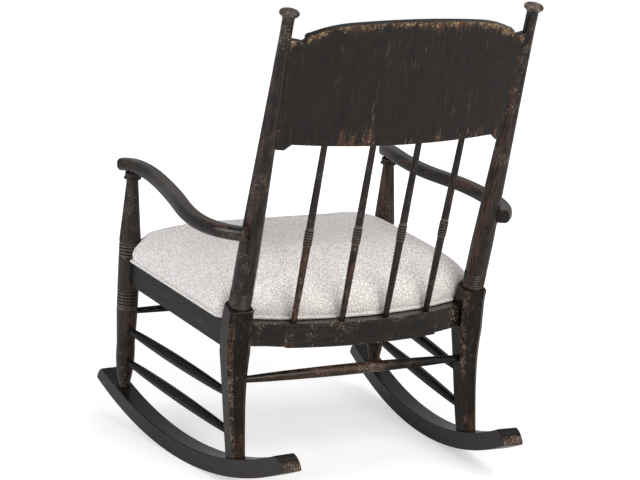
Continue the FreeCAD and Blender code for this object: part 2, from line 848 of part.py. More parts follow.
def make_crest():
    blank = crest_sheet(crest_thickness, crest_shoulder_low - cut_overrun,
                        crest_top_high + cut_overrun, crest_half_width)
    face = Part.Face(crest_outline())
    saw = face.extrude(Vector(0, 2 * crest_radius, 0))
    saw.translate(Vector(0, -crest_radius, 0))
    panel = solid_of(blank.common(saw))
    panel = place_on_back(panel)
    panel = shaved(panel, taper_clear)
    panel = shaved(panel, taper_clear.mirror(ORIGIN, X_AXIS))
    tongue_low = crest_shoulder_low + cut_overrun
    tongue_high = crest_shoulder_high - cut_overrun
    tongue_reach = crest_half_width + crest_tenon_reach
    tongue = place_on_back(crest_sheet(crest_tenon_thickness, tongue_low, tongue_high,
                                       tongue_reach))
    return panel.fuse(tongue).removeSplitter()


crest = make_crest()
tongue_slot = place_on_back(crest_sheet(
    crest_tenon_thickness + 2 * joint_clearance,
    crest_shoulder_low + cut_overrun - joint_clearance,
    crest_shoulder_high - cut_overrun + joint_clearance,
    crest_half_width + crest_tenon_reach + joint_clearance))
back_post = back_post.cut(tongue_slot)


# Spindles: tapered both ways from a ringed middle

def make_spindle(x):
    """One spindle with its foot in the rear rail and its tip in the crest."""
    inset = rear_rail_thickness / 2
    foot = seat_place.multVec(Vector(x, bowed_y(x, inset), 0))
    tip = back_point(x, crest_y(x), crest_panel_low)
    length = tip.sub(foot).Length
    zone = spindle_ring_count * spindle_ring_pitch
    low = spindle_ring_middle - zone / 2
    waist = spindle_middle_radius - spindle_ring_groove / 2
    turning = Turning(spindle_end_radius, -spindle_foot_depth)
    turning.line_to(spindle_end_radius, 0)
    turning.line_to(waist, low)
    for index in range(spindle_ring_count):
        start = low + index * spindle_ring_pitch
        turning.line_to(spindle_middle_radius, start + spindle_ring_pitch / 4)
        turning.line_to(spindle_middle_radius, start + spindle_ring_pitch * 3 / 4)
        turning.line_to(waist - spindle_ring_groove / 2, start + spindle_ring_pitch)
    turning.line_to(waist, low + zone + spindle_ring_pitch / 4)
    turning.line_to(spindle_end_radius, length - joint_clearance)
    turning.line_to(spindle_tip_radius, length - joint_clearance)
    turning.line_to(spindle_tip_radius, length + spindle_tip_depth)
    body = turning.solid()
    body.Placement = on_axis(foot, tip)
    down = foot.sub(tip).normalize()
    foot_hole = rod(foot.add(Vector(down).multiply(spindle_foot_depth + joint_clearance)),
                    foot.sub(Vector(down).multiply(cut_overrun)),
                    spindle_end_radius + joint_clearance)
    tip_hole = rod(tip.add(Vector(down).multiply(cut_overrun)),
                   tip.sub(Vector(down).multiply(spindle_tip_depth + joint_clearance)),
                   spindle_tip_radius + joint_clearance)
    return body, foot_hole, tip_hole


spindle_places = [spindle_outer_x, spindle_inner_x, -spindle_inner_x, -spindle_outer_x]
for number, place in enumerate(spindle_places, 1):
    spindle, foot_hole, tip_hole = make_spindle(place)
    keep("spindle_%d" % number, spindle)
    rear_rail = rear_rail.cut(foot_hole)
    crest = crest.cut(tip_hole)


# Stretchers: long swelling turnings let into the legs

def front_post_point(z):
    return along(front_foot, front_top, (z - front_foot.z) / (front_top.z - front_foot.z))


def rear_leg_point(z):
    """Middle of the rear leg at a height, between the two stations on either side."""
    stations = [(rear_foot.z, rear_foot_y), (rear_leg_shin_z, rear_leg_shin_y),
                (rear_leg_knee_z, rear_leg_knee_y), (rear_leg_rail_z, rear_leg_rail_y)]
    for (low_z, low_y), (high_z, high_y) in zip(stations, stations[1:]):
        if low_z <= z <= high_z:
            share = (z - low_z) / (high_z - low_z)
            return Vector(rear_leg_x(z), low_y + (high_y - low_y) * share, z)
    return Vector(rear_leg_x(z), rear_leg_rail_y, z)


def make_stretcher(start, end, start_depth, end_depth, radius):
    """A stretcher between two leg middles, with its ends a depth past each leg's face."""
    run = end.sub(start).normalize()
    low = start.add(Vector(run).multiply(start_depth - stretcher_insert))
    high = end.sub(Vector(run).multiply(end_depth - stretcher_insert))
    length = high.sub(low).Length
    turning = Turning(stretcher_end_radius, 0)
    turning.line_to(stretcher_end_radius, stretcher_insert)
    gain = radius - stretcher_end_radius
    swell_radius = stretcher_end_radius + gain * stretcher_swell_gain_share
    swell_place = length * stretcher_swell_place_share + stretcher_insert / 2
    end_bulge = gain * stretcher_end_bulge_share
    turning.arc_to(swell_radius, swell_place, end_bulge)
    turning.arc_to(swell_radius, length - swell_place, gain * stretcher_middle_bulge_share)
    turning.arc_to(stretcher_end_radius, length - stretcher_insert, end_bulge)
    turning.line_to(stretcher_end_radius, length)
    body = turning.solid()
    body.Placement = on_axis(low, high)
    holes = [
        rod(low.sub(Vector(run).multiply(joint_clearance)),
            low.add(Vector(run).multiply(start_depth)), stretcher_end_radius + joint_clearance),
        rod(high.add(Vector(run).multiply(joint_clearance)),
            high.sub(Vector(run).multiply(end_depth)), stretcher_end_radius + joint_clearance),
    ]
    return body, holes


def leg_half_depth(z):
    stations = [(rear_foot.z, rear_leg_foot_depth), (rear_leg_shin_z, rear_leg_shin_depth),
                (rear_leg_knee_z, rear_leg_knee_depth)]
    for (low_z, low), (high_z, high) in zip(stations, stations[1:]):
        if low_z <= z <= high_z:
            return (low + (high - low) * (z - low_z) / (high_z - low_z)) / 2
    return rear_leg_knee_depth / 2


for name, front_z, rear_z in (
    ("side_stretcher_upper", upper_stretcher_front_z, upper_stretcher_rear_z),
    ("side_stretcher_lower", lower_stretcher_front_z, lower_stretcher_rear_z),
):
    stretcher, holes = make_stretcher(front_post_point(front_z), rear_leg_point(rear_z),
                                      front_post_calf_radius, leg_half_depth(rear_z),
                                      side_stretcher_radius)
    keep_pair(name, stretcher)
    front_post = front_post.cut(holes[0])
    rear_leg = rear_leg.cut(holes[1])

front_joint = front_post_point(front_stretcher_z)
front_stretcher, holes = make_stretcher(mirrored(front_joint), front_joint, front_post_radius,
                                        front_post_radius, front_stretcher_radius)
front_post = front_post.cut(holes[1])
keep("front_stretcher", front_stretcher)

rear_joint = rear_leg_point(rear_stretcher_z)
rear_stretcher, holes = make_stretcher(mirrored(rear_joint), rear_joint, rear_leg_knee_width / 2,
                                       rear_leg_knee_width / 2, rear_stretcher_radius)
rear_leg = rear_leg.cut(holes[1])
keep("rear_stretcher", rear_stretcher)


# Arms: lofted through upright rounded sections, with a half-round nose

arm_end_z = front_top.z + arm_end_rise
dowel_height = (arm_end_z + arm_thickness / 2 - shoulder_z) / math.cos(back_lean)
dowel_post = along(shoulder, finial_point, dowel_height / back_post_length)


def arm_station(y, out, rise):
    share = (y - front_top.y) / (dowel_post.y - front_top.y)
    between = front_top.x + (dowel_post.x - front_top.x) * share
    return Vector(between + out, y, front_top.z + rise)


arm_stations = [
    arm_station(arm_nose_y, arm_nose_out, arm_nose_rise),
    arm_station(arm_waist_y, arm_waist_out, arm_waist_rise),
    arm_station(arm_fall_y, arm_fall_out, arm_fall_rise),
    arm_station(arm_swell_y, arm_swell_out, arm_swell_rise),
    arm_station(arm_elbow_y, arm_elbow_out, arm_elbow_rise),
    arm_station(arm_hip_y, arm_hip_out, arm_hip_rise),
    arm_station(arm_end_y, arm_end_out, arm_end_rise),
]


def half_section(point, run, sign):
    """Edges of half the arm's section, from the middle of its low line round to the top."""
    side = Vector(run.y, -run.x, 0).normalize()
    half = arm_width / 2
    low = arm_edge_round
    high = arm_thickness - arm_edge_round
    flat = half - arm_edge_round
    turn = arm_edge_round * math.sqrt(0.5)

    def at(across, up):
        return point.add(Vector(side).multiply(sign * across)).add(Vector(0, 0, up))

    return [
        line(at(0, 0), at(flat, 0)),
        arc(at(flat, 0), at(flat + turn, low - turn), at(half, low)),
        line(at(half, low), at(half, high)),
        arc(at(half, high), at(flat + turn, high + turn), at(flat, arm_thickness)),
        line(at(flat, arm_thickness), at(0, arm_thickness)),
    ]


def arm_section(point, run):
    """An upright rounded rectangle, square to the arm's run in plan, standing on its low line."""
    edges = half_section(point, run, 1) + half_section(point, run, -1)
    return Part.Wire(Part.sortEdges(edges)[0])


def arm_runs():
    """Direction of the arm at each station, from its neighbours."""
    curve = Part.BSplineCurve()
    curve.interpolate(arm_stations)
    runs = []
    for station in arm_stations:
        tangent = curve.tangent(curve.parameter(station))[0]
        runs.append(Vector(tangent.x, tangent.y, 0).normalize())
    return runs


def make_nose(point, run):
    """Half a section turned about the arm's middle, which rounds its front in plan."""
    middle = line(point.add(Vector(0, 0, arm_thickness)), point)
    face = Part.Face(Part.Wire(half_section(point, run, 1) + [middle]))
    turns = [face.revolve(point, Z_AXIS, angle) for angle in (180, -180)]
    return min(turns, key=lambda shape: shape.CenterOfMass.y)


def make_arm():
    runs = arm_runs()
    sections = [arm_section(point, run) for point, run in zip(arm_stations, runs)]
    body = Part.makeLoft(sections, True, False)
    return body.fuse(make_nose(arm_stations[0], runs[0])).removeSplitter()


arm = make_arm()
arm = solid_of(arm.cut(taper_clear))
arm_socket = rod(front_top.sub(front_top.sub(front_foot).normalize().multiply(cut_overrun)),
                 front_top.add(front_top.sub(front_foot).normalize().multiply(
                     arm_tenon_length + joint_clearance)),
                 arm_tenon_radius + joint_clearance)
arm = arm.cut(arm_socket)
arm_seat_clear = rod(front_foot, front_top, front_post_collar_radius)
arm = solid_of(arm.cut(arm_seat_clear))

# A hidden dowel holds each arm to the outside of its back post
dowel_in = dowel_post.add(Vector(arm_dowel_radius, 0, 0))
dowel_out = dowel_in.add(Vector(arm_dowel_length, 0, 0))
arm_dowel = rod(dowel_in, dowel_out, arm_dowel_radius)
dowel_hole = rod(dowel_in.sub(Vector(joint_clearance, 0, 0)),
                 dowel_out.add(Vector(joint_clearance, 0, 0)), arm_dowel_radius + joint_clearance)
arm = arm.cut(dowel_hole)
back_post = back_post.cut(dowel_hole)
keep_pair("arm_dowel", arm_dowel)


# Seat: board, cushion, welt and dust cover, drawn flat over the frame like the rails

seat_front_y = front_rail_y - rail_thickness / 2 - seat_front_overhang
front_post_clear = rod(front_foot, front_top, front_post_radius + cushion_gap)
back_post_clear = rod(shoulder, finial_point, back_post_ring_radius + cushion_gap)
leg_cushion_clear = upper_leg(cushion_gap)


def side_x(y, inset):
    """Half width of the seat at a place along it, set in from the side rail's outer face."""
    slope = side_run.x / side_run.y
    return side_front.x + (y - side_front.y) * slope - inset


def seat_corners(inset, level):
    """Corners of the cushion's left half at an inset: front corner, rear corner and crease."""
    front_y = seat_front_y + inset
    back_inset = rear_rail_thickness / 2 + spindle_end_radius + seat_rear_gap + inset
    crease_x = rear_crease.x - inset * cushion_crease_share
    crease = Vector(crease_x, bowed_y(crease_x, back_inset), level)
    reach = (side_x(rear_end.y, inset) - crease.x) / rear_end_run.x
    rear_y = crease.y + rear_end_run.y * reach
    rear = Vector(side_x(rear_y, inset), rear_y, level)
    front = Vector(side_x(front_y, inset), front_y, level)
    return front, rear, crease, Vector(0, rear_middle_y - back_inset, level)


def seat_outline(inset, level, radius=cushion_corner_radius):
    """The cushion's plan at an inset: straight front and sides, and a bowed back."""
    front, rear, crease, middle = seat_corners(inset, level)
    up = rear.sub(front).normalize()
    away = crease.sub(rear).normalize()
    turns = []
    for corner, first, second in ((front, X_AXIS.negative(), up), (rear, up.negative(), away)):
        start = corner.add(Vector(first).multiply(radius))
        end = corner.add(Vector(second).multiply(radius))
        inward = along(start, end, 0.5).sub(corner)
        middle_point = corner.add(inward.multiply(2 - math.sqrt(2)))
        turns.append((start, middle_point, end))
    half = [arc(*turns[0]), line(turns[0][2], turns[1][0]), arc(*turns[1]),
            line(turns[1][2], crease)]
    edges = half + [arc(crease, middle, mirrored(crease))]
    edges += [edge.mirror(ORIGIN, X_AXIS) for edge in half]
    edges.append(line(mirrored(turns[0][0]), turns[0][0]))
    return Part.Wire(Part.sortEdges(edges)[0])


def cleared(shape):
    """A seat piece notched round the posts and legs at its four corners."""
    for tool in (front_post_clear, back_post_clear, leg_cushion_clear):
        shape = shape.cut(tool)
        shape = shape.cut(tool.mirror(ORIGIN, X_AXIS))
    return shape


seat_board = Part.Face(seat_outline(seat_board_inset, 0)).extrude(
    Vector(0, 0, seat_board_thickness))
board_pocket = Part.Face(seat_outline(seat_board_inset - joint_clearance, -cut_overrun)).extrude(
    Vector(0, 0, seat_board_thickness + cut_overrun + joint_clearance))
keep("seat_board", solid_of(cleared(place_on_seat(seat_board))))


def make_cushion():
    """A crowned pad: drawn in at the welt, full at the sides, rounded over, taller behind."""
    levels = [
        (cushion_base_inset + welt_radius, joint_clearance, cushion_corner_radius),
        (cushion_base_inset - cushion_bulge / 2, welt_radius * 3, cushion_corner_radius),
        (cushion_base_inset - cushion_bulge, cushion_bulge_height, cushion_corner_radius),
        (cushion_shoulder_inset, cushion_shoulder_height, cushion_shoulder_round),
        (cushion_turn_inset, cushion_turn_height, cushion_turn_round),
        (cushion_crown_inset, cushion_crown_height, cushion_crown_round),
        (cushion_top_inset, cushion_top_height, cushion_crown_round),
    ]
    half_length = (rear_middle_y - seat_front_y) / 2
    sections = []
    for inset, level, radius in levels:
        section = seat_outline(inset, level, radius)
        rise = math.atan(level * cushion_rear_rise_share / half_length)
        section.rotate(Vector(0, 0, level), X_AXIS, math.degrees(rise))
        sections.append(section)
    pad = Part.makeLoft(sections, True, False)
    pad = pad.cut(board_pocket)
    return solid_of(cleared(place_on_seat(pad)))


cushion = make_cushion()


def cord(edges):
    """A round cord along joined edges, with a ball where they meet at an angle."""
    pieces = []
    for edge in edges:
        start = edge.Vertexes[0].Point
        circle = Part.Wire(Part.makeCircle(welt_radius, start,
                                           edge.tangentAt(edge.FirstParameter)))
        pieces.append(Part.Wire([edge]).makePipeShell([circle], True, False))
    for edge in edges[1:]:
        pieces.append(Part.makeSphere(welt_radius, edge.Vertexes[0].Point))
    return pieces[0].fuse(pieces[1:]).removeSplitter() if pieces[1:] else pieces[0]


def make_welts():
    """The sewn cord round the cushion's foot, in lengths that stop at the posts."""
    level = welt_radius + joint_clearance
    front, rear, crease, middle = seat_corners(cushion_base_inset, level)
    back = [line(rear, crease), arc(crease, middle, mirrored(crease)),
            line(mirrored(crease), mirrored(rear))]
    return (cord([line(mirrored(front), front)]), cord([line(front, rear)]), cord(back))


front_cord, side_cord, rear_cord = [place_on_seat(shape) for shape in make_welts()]
for tool in (front_cord, side_cord, side_cord.mirror(ORIGIN, X_AXIS), rear_cord):
    cushion = cushion.cut(tool)
keep("seat_cushion", solid_of(cushion))
keep("seat_welt_front", solid_of(cleared(front_cord)))
keep_pair("seat_welt_side", solid_of(cleared(side_cord)))
keep("seat_welt_rear", solid_of(cleared(rear_cord)))


# Corner blocks in the frame's corners, screwed up into the seat board

front_inner_y = front_rail_y + rail_thickness / 2


def corner_block(corner, along_run, across_run):
    """A triangular block in the angle between two rails."""
    gap = joint_clearance
    nook = corner.add(Vector(along_run).multiply(gap)).add(Vector(across_run).multiply(gap))
    a = nook.add(Vector(along_run).multiply(corner_block_leg))
    b = nook.add(Vector(across_run).multiply(corner_block_leg))
    low = -corner_block_drop - corner_block_height
    return slab([(nook.x, nook.y), (a.x, a.y), (b.x, b.y)], low, -corner_block_drop)


front_nook = Vector(side_x(front_inner_y, rail_thickness), front_inner_y, 0)
rear_inner, rear_inner_end = rear_line(rear_rail_thickness, 0, 0)
rear_nook_y = rear_inner_end.y
rear_nook = Vector(side_x(rear_nook_y, rail_thickness), rear_nook_y, 0)
front_block = corner_block(front_nook, side_run, X_AXIS.negative())
rear_block = corner_block(rear_nook, side_run.negative(), rear_end_run.negative())


def finish_block(block):
    block = place_on_seat(block)
    for tool in (front_post_clear, leg_clear, side_rail):
        block = solid_of(block.cut(tool))
    return solid_of(block.cut(rear_rail))


for name, block, nook in (("front", front_block, front_nook), ("rear", rear_block, rear_nook)):
    block = finish_block(block)
    centre = flat_point(block.CenterOfMass)
    head_level = -corner_block_drop - corner_block_height
    low = seat_place.multVec(Vector(centre.x, centre.y, head_level - joint_clearance))
    top = seat_place.multVec(Vector(centre.x, centre.y, head_level + seat_screw_length))
    up = top.sub(low).normalize()
    head_low = low.sub(Vector(up).multiply(seat_screw_head_height))
    screw = rod(low, top, seat_screw_radius).fuse(rod(head_low, low, seat_screw_head_radius))
    screw_hole = rod(head_low, top.add(Vector(up).multiply(joint_clearance)),
                     seat_screw_radius + joint_clearance)
    block = block.cut(screw_hole)
    keep_pair("corner_block_" + name, block)
    keep_pair("seat_screw_" + name, screw.removeSplitter())
    board = parts["seat_board"].cut(screw_hole)
    parts["seat_board"] = board.cut(screw_hole.mirror(ORIGIN, X_AXIS))


# Dust cover: a thin cloth stapled under the frame

def make_dust_cover():
    back_y = rear_end.y - rear_rail_thickness / 2
    front_y = front_rail_y - rail_thickness / 2 + dust_cover_inset
    outline = [(side_x(front_y, dust_cover_inset), front_y),
               (side_x(back_y, dust_cover_inset), back_y),
               (rear_crease.x, bowed_y(rear_crease.x, rear_rail_thickness / 2)),
               (0, bowed_y(0, rear_rail_thickness / 2))]
    outline += [(-x, y) for x, y in reversed(outline[:-1])]
    top = -rail_height - joint_clearance
    return cleared(place_on_seat(slab(outline, top - dust_cover_thickness, top)))


keep("dust_cover", solid_of(make_dust_cover()))


# The rockers take the leg tenons last

def tenon_socket(foot, top):
    upward = top.sub(foot).normalize()
    low = foot.sub(Vector(upward).multiply(foot_tenon_length + joint_clearance))
    return rod(low, foot.add(Vector(upward).multiply(cut_overrun)),
               foot_tenon_radius + joint_clearance)


rocker = rocker.cut(tenon_socket(front_foot, front_top))
rocker = rocker.cut(tenon_socket(rear_foot, Vector(rear_foot.x, rear_foot.y, shoulder_z)))

keep_pair("rocker", rocker)
keep_pair("front_post", front_post)
keep_pair("rear_leg", rear_leg)
keep_pair("back_post", back_post)
keep_pair("side_rail", side_rail)
keep_pair("arm", arm)
keep("front_rail", front_rail)
keep("rear_rail", rear_rail)
keep("crest_panel", crest)

for name, shape in sorted(parts.items()):
    if len(shape.Solids) != 1 or not shape.isValid():
        print("look at", name, len(shape.Solids), "solids, valid:", shape.isValid())
    shape.Solids[0].exportStep("parts/" + name + ".step")

total_volume = sum(shape.Volume for shape in parts.values())
print(len(parts), "parts, volume", round(total_volume / 1e6, 2), "litres")
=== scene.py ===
# %% [markdown]
# # Dressing a rocking chair
# The chair's solid pieces come from its drawing, in metres, with the floor at zero, the sitter
# facing -Y and the sitter's left at +X. This lesson gives them their finish: rubbed black paint
# over brown wood, a woven seat, and the light of a plain studio.

# %% Load the chair
import math

import bmesh
import bpy
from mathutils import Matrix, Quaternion, Vector


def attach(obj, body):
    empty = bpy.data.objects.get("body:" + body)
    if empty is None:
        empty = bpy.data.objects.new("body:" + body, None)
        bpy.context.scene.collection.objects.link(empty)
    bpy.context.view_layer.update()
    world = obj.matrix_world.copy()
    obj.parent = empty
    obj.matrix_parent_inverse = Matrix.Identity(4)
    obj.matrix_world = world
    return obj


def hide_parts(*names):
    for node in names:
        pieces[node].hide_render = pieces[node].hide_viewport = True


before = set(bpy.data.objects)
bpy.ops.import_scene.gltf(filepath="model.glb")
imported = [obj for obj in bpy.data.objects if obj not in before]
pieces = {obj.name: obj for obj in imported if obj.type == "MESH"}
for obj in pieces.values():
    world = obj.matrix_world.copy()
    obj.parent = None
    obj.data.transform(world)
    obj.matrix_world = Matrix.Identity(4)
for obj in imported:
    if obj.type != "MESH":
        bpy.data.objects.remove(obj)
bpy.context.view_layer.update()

scene = bpy.context.scene
print("pieces loaded:", len(pieces))

# %% [markdown]
# ## The camera
# The chair is seen from behind, over its left rear leg, from a little above the arms and from
# far away with a long lens, which keeps the uprights nearly parallel. The place of the camera was
# worked out from where the posts, rails and rockers stand in the picture. It is written as the
# place it stands, the place it looks at, the lens in millimetres and a very small roll in degrees.

# %% Set up the camera
eye = Vector((1.8438, 4.1715, 1.2456))
looks_at = Vector((-0.0352, -0.0378, 0.4602))
lens = 117.5
roll = 0.11
camera_data = bpy.data.cameras.new("studio_camera")
camera_data.sensor_width = 36.0
camera_data.lens = lens
camera = bpy.data.objects.new("studio_camera", camera_data)
aim = (looks_at - eye).to_track_quat("-Z", "Y")
camera.rotation_mode = "QUATERNION"
camera.rotation_quaternion = aim @ Quaternion((0.0, 0.0, 1.0), math.radians(roll))
camera.location = eye
scene.collection.objects.link(camera)
scene.camera = camera
print("camera distance:", round((looks_at - eye).length, 2), "m")

# %% [markdown]
# ## Small helpers for shader nodes
# Every material below is a little graph of nodes. One helper adds a node and fills its sockets,
# with a value or with another node's output. The others are short names for the nodes that are
# used most: sums, soft steps, mixed colours, noises, and the place of a point on the chair.


# %% Helpers for shader nodes
def put(tree, kind, sockets=None, **settings):
    """Add a node, set its options, and fill its sockets by name or number."""
    node = tree.nodes.new(kind)
    for name, value in settings.items():
        setattr(node, name, value)
    for name, value in (sockets or {}).items():
        if isinstance(value, bpy.types.NodeSocket):
            tree.links.new(value, node.inputs[name])
        else:
            node.inputs[name].default_value = value
    return node


def maths(tree, operation, first, second=0.0, clamp=False):
    """One operation on two numbers, kept between 0 and 1 if asked."""
    return put(tree, "ShaderNodeMath", {0: first, 1: second}, operation=operation,
               use_clamp=clamp).outputs[0]


def times(tree, first, second, clamp=False):
    return maths(tree, "MULTIPLY", first, second, clamp)


def plus(tree, first, second, clamp=False):
    return maths(tree, "ADD", first, second, clamp)


def minus(tree, first, second):
    return maths(tree, "SUBTRACT", first, second)


def unsigned(tree, value):
    return maths(tree, "ABSOLUTE", value)


def fade(tree, value, low, high):
    """Zero below the low value, one above the high one, and a soft step between."""
    node = put(tree, "ShaderNodeMapRange", {"Value": value, "From Min": low, "From Max": high},
               interpolation_type="SMOOTHSTEP")
    return node.outputs[0]


def fade_out(tree, value, low, high):
    """One below the low value, zero above the high one, and a soft step between."""
    return minus(tree, 1.0, fade(tree, value, low, high))


def blend(tree, amount, first, second):
    """A colour between two others."""
    node = put(tree, "ShaderNodeMix", {0: amount, 6: first, 7: second}, data_type="RGBA")
    return node.outputs[2]


def chair_place(tree):
    """Where a point is on the chair, in metres."""
    return put(tree, "ShaderNodeTexCoord").outputs["Object"]


def stretched(tree, place, factors):
    """A place with its three parts scaled, which draws a noise out one way."""
    return put(tree, "ShaderNodeVectorMath", {0: place, 1: factors},
               operation="MULTIPLY").outputs["Vector"]


def parts_of(tree, vector):
    """The three parts of a place or a direction: across, back and up."""
    return list(put(tree, "ShaderNodeSeparateXYZ", {0: vector}).outputs)


def noise(tree, vector, scale, detail=2.0, roughness=0.5):
    return put(tree, "ShaderNodeTexNoise", {"Vector": vector, "Scale": scale, "Detail": detail,
                                            "Roughness": roughness}).outputs["Fac"]


def new_effect(name, takes, gives):
    """An empty node group with named inputs and outputs, and its two end nodes."""
    kinds = {"value": "NodeSocketFloat", "colour": "NodeSocketColor", "vector": "NodeSocketVector"}
    tree = bpy.data.node_groups.new(name, "ShaderNodeTree")
    for label, kind, start in takes:
        socket = tree.interface.new_socket(name=label, in_out="INPUT", socket_type=kinds[kind])
        socket.default_value = start
    for label, kind in gives:
        tree.interface.new_socket(name=label, in_out="OUTPUT", socket_type=kinds[kind])
    return tree, tree.nodes.new("NodeGroupInput").outputs, tree.nodes.new("NodeGroupOutput")


def hand_over(tree, end, results):
    """Connect an effect's results to its outputs."""
    for name, result in results.items():
        tree.links.new(result, end.inputs[name])


def place_effect(tree, effect, sockets):
    return put(tree, "ShaderNodeGroup", sockets, node_tree=effect)


surface_results = [("Color", "colour"), ("Roughness", "value"), ("Height", "value")]
print("helpers ready")

# %% [markdown]
# ## Rubbed edges
# Hands, feet and cleaning wear paint away first where a piece turns a corner. The Bevel node
# gives the direction that a surface would have if its corners were rounded off. Where that
# differs from the real direction there is a corner. The effect gives a broad band, where the
# paint is thin, and a narrow one on the very edge, where it is gone, and a noise breaks both up
# so that they don't look drawn on. Inside a groove the wood is shielded, so the Ambient
# Occlusion node takes the wear away there. It also gives a mask of grooves and joints that the
# paint darkens, which is painted shade with some dirt.


# %% Effect: rubbed edges
def build_rubbed_edges():
    tree, given, end = new_effect(
        "rubbed edges", [("Width", "value", 0.005)],
        [("Broad", "value"), ("Narrow", "value"), ("Shade and dirt", "value")])
    rounded = put(tree, "ShaderNodeBevel", {"Radius": given["Width"]}, samples=6)
    geometry = put(tree, "ShaderNodeNewGeometry")
    same = put(tree, "ShaderNodeVectorMath",
               {0: rounded.outputs["Normal"], 1: geometry.outputs["Normal"]},
               operation="DOT_PRODUCT")
    corner = minus(tree, 1.0, same.outputs["Value"])
    open_air = put(tree, "ShaderNodeAmbientOcclusion", {"Distance": 0.0038},
                   samples=8).outputs["AO"]
    in_reach = fade(tree, open_air, 0.6, 0.9)
    place = chair_place(tree)
    fine = fade(tree, noise(tree, place, 210.0, 4.0, 0.65), 0.42, 0.6)
    large = fade(tree, noise(tree, place, 22.0, 4.0, 0.65), 0.4, 0.6)
    broad = times(tree, fade(tree, corner, 0.01, 0.14), large)
    narrow = times(tree, fade(tree, corner, 0.08, 0.24), times(tree, fine, 0.5))
    # The last mask darkens grooves and joints: painted shade, with some dirt.
    hand_over(tree, end, {"Broad": times(tree, broad, in_reach),
                          "Narrow": times(tree, narrow, in_reach),
                          "Shade and dirt": fade_out(tree, open_air, 0.35, 0.85)})
    return tree


rubbed_edges = build_rubbed_edges()
print("effect:", rubbed_edges.name)

# %% [markdown]
# ## Old paint
# The wood was stained brown, painted near-black, and rubbed back. Long streaks run with the
# grain, red-brown shows through in patches, ochre where more is gone, and small pale flecks are
# left where the wood's pores kept filler. All of it is one effect. It is told which way the grain
# runs, how far the piece leans back, how brown and how flecked it is all over, and three masks:
# the places that are brown, those that are bare, and those that get a painted highlight in pale
# grey. A fourth mask darkens grooves and joints, which is painted shade with some dirt.


# %% Effect: old paint
def build_old_paint():
    tree, given, end = new_effect(
        "old paint",
        [("Along", "vector", (60.0, 60.0, 4.0)), ("Deep", "colour", (0.0058, 0.0046, 0.0039, 1.0)),
         ("Faded", "colour", (0.0155, 0.0118, 0.0096, 1.0)), ("Brown", "value", 0.3),
         ("Brown places", "value", 0.0), ("Bare places", "value", 0.0), ("Flecks", "value", 0.5),
         ("Shade and dirt", "value", 0.0), ("Lean", "value", 0.0), ("Highlight places", "value", 0.0),
         ("Speck", "colour", (0.42, 0.335, 0.25, 1.0))], surface_results)
    scratched = (0.07, 0.057, 0.047, 1.0)
    painted_highlight_grey = (0.085, 0.073, 0.065, 1.0)
    stain_dark = (0.028, 0.013, 0.0085, 1.0)
    stain_light = (0.078, 0.038, 0.023, 1.0)
    ochre_dark = (0.12, 0.072, 0.044, 1.0)
    shade_and_dirt = (0.004, 0.0033, 0.0028, 1.0)

    # The noises that the rest is made of, the first ones drawn out along the grain.
    place = put(tree, "ShaderNodeVectorRotate",
                {"Vector": chair_place(tree), "Angle": given["Lean"]},
                rotation_type="X_AXIS").outputs["Vector"]
    along = stretched(tree, place, given["Along"])
    streak = noise(tree, along, 1.0, 5.0, 0.62)
    patch = noise(tree, along, 0.5, 4.0, 0.6)
    fine = noise(tree, along, 5.0, 3.0, 0.6)
    grit = noise(tree, place, 640.0, 1.0, 0.5)
    cluster = noise(tree, place, 42.0, 4.0, 0.7)
    off = minus(tree, cluster, 0.5)

    # Near-black paint with fine scratches, and a painted highlight in pale grey on ring crowns.
    tone = plus(tree, times(tree, streak, 0.35), times(tree, cluster, 0.3))
    tone = plus(tree, tone, times(tree, fine, 0.35))
    paint = blend(tree, fade(tree, tone, 0.38, 0.64), given["Deep"], given["Faded"])
    scratch = times(tree, fade(tree, noise(tree, along, 6.0, 2.0, 0.5), 0.6, 0.68),
                    fade(tree, noise(tree, along, 0.9, 3.0, 0.6), 0.5, 0.64))
    paint = blend(tree, times(tree, scratch, 0.85), paint, scratched)
    # A painted highlight: pale grey on the crowns of rings.
    paint = blend(tree, given["Highlight places"], paint, painted_highlight_grey)

    # Brown stain where the paint is thin, its border ragged.
    brown = blend(tree, fade(tree, fine, 0.36, 0.64), stain_dark, stain_light)
    rubbed = times(tree, fade(tree, patch, 0.47, 0.6), given["Brown"])
    rubbed = plus(tree, rubbed, given["Brown places"], clamp=True)
    ragged = plus(tree, rubbed, times(tree, off, 0.9))
    ragged = plus(tree, ragged, times(tree, minus(tree, fine, 0.5), 0.7))
    brown_mask = fade(tree, ragged, 0.38, 1.0)
    colour = blend(tree, times(tree, brown_mask, 0.85), paint, brown)

    # Ochre wood in flecks, and painted shade with some dirt in the grooves and joints.
    flecked = fade(tree, noise(tree, place, 13.0, 3.0, 0.6), 0.38, 0.64)
    amount = times(tree, times(tree, flecked, given["Flecks"]), 0.65)
    amount = plus(tree, amount, given["Bare places"])
    gone = plus(tree, grit, times(tree, off, 0.42))
    gone = plus(tree, gone, times(tree, amount, 0.42))
    bare_mask = fade(tree, gone, 0.79, 0.88)
    ochre = blend(tree, fade(tree, noise(tree, place, 170.0, 2.0, 0.6), 0.4, 0.6),
                  ochre_dark, given["Speck"])
    colour = blend(tree, times(tree, bare_mask, 0.9), colour, ochre)
    # Painted shade, with some dirt: grooves and joints turn near-black.
    colour = blend(tree, times(tree, given["Shade and dirt"], 0.85), colour, shade_and_dirt)

    # Shine and relief.
    rough = plus(tree, 0.11, times(tree, fine, 0.26))
    rough = plus(tree, rough, times(tree, brown_mask, 0.12))
    rough = plus(tree, rough, times(tree, given["Shade and dirt"], 0.4))
    height = minus(tree, times(tree, fine, 0.8), times(tree, bare_mask, 0.4))
    height = plus(tree, height, times(tree, grit, 0.3))
    hand_over(tree, end, {"Color": colour, "Roughness": rough, "Height": height})
    return tree


old_paint = build_old_paint()
print("effect:", old_paint.name)
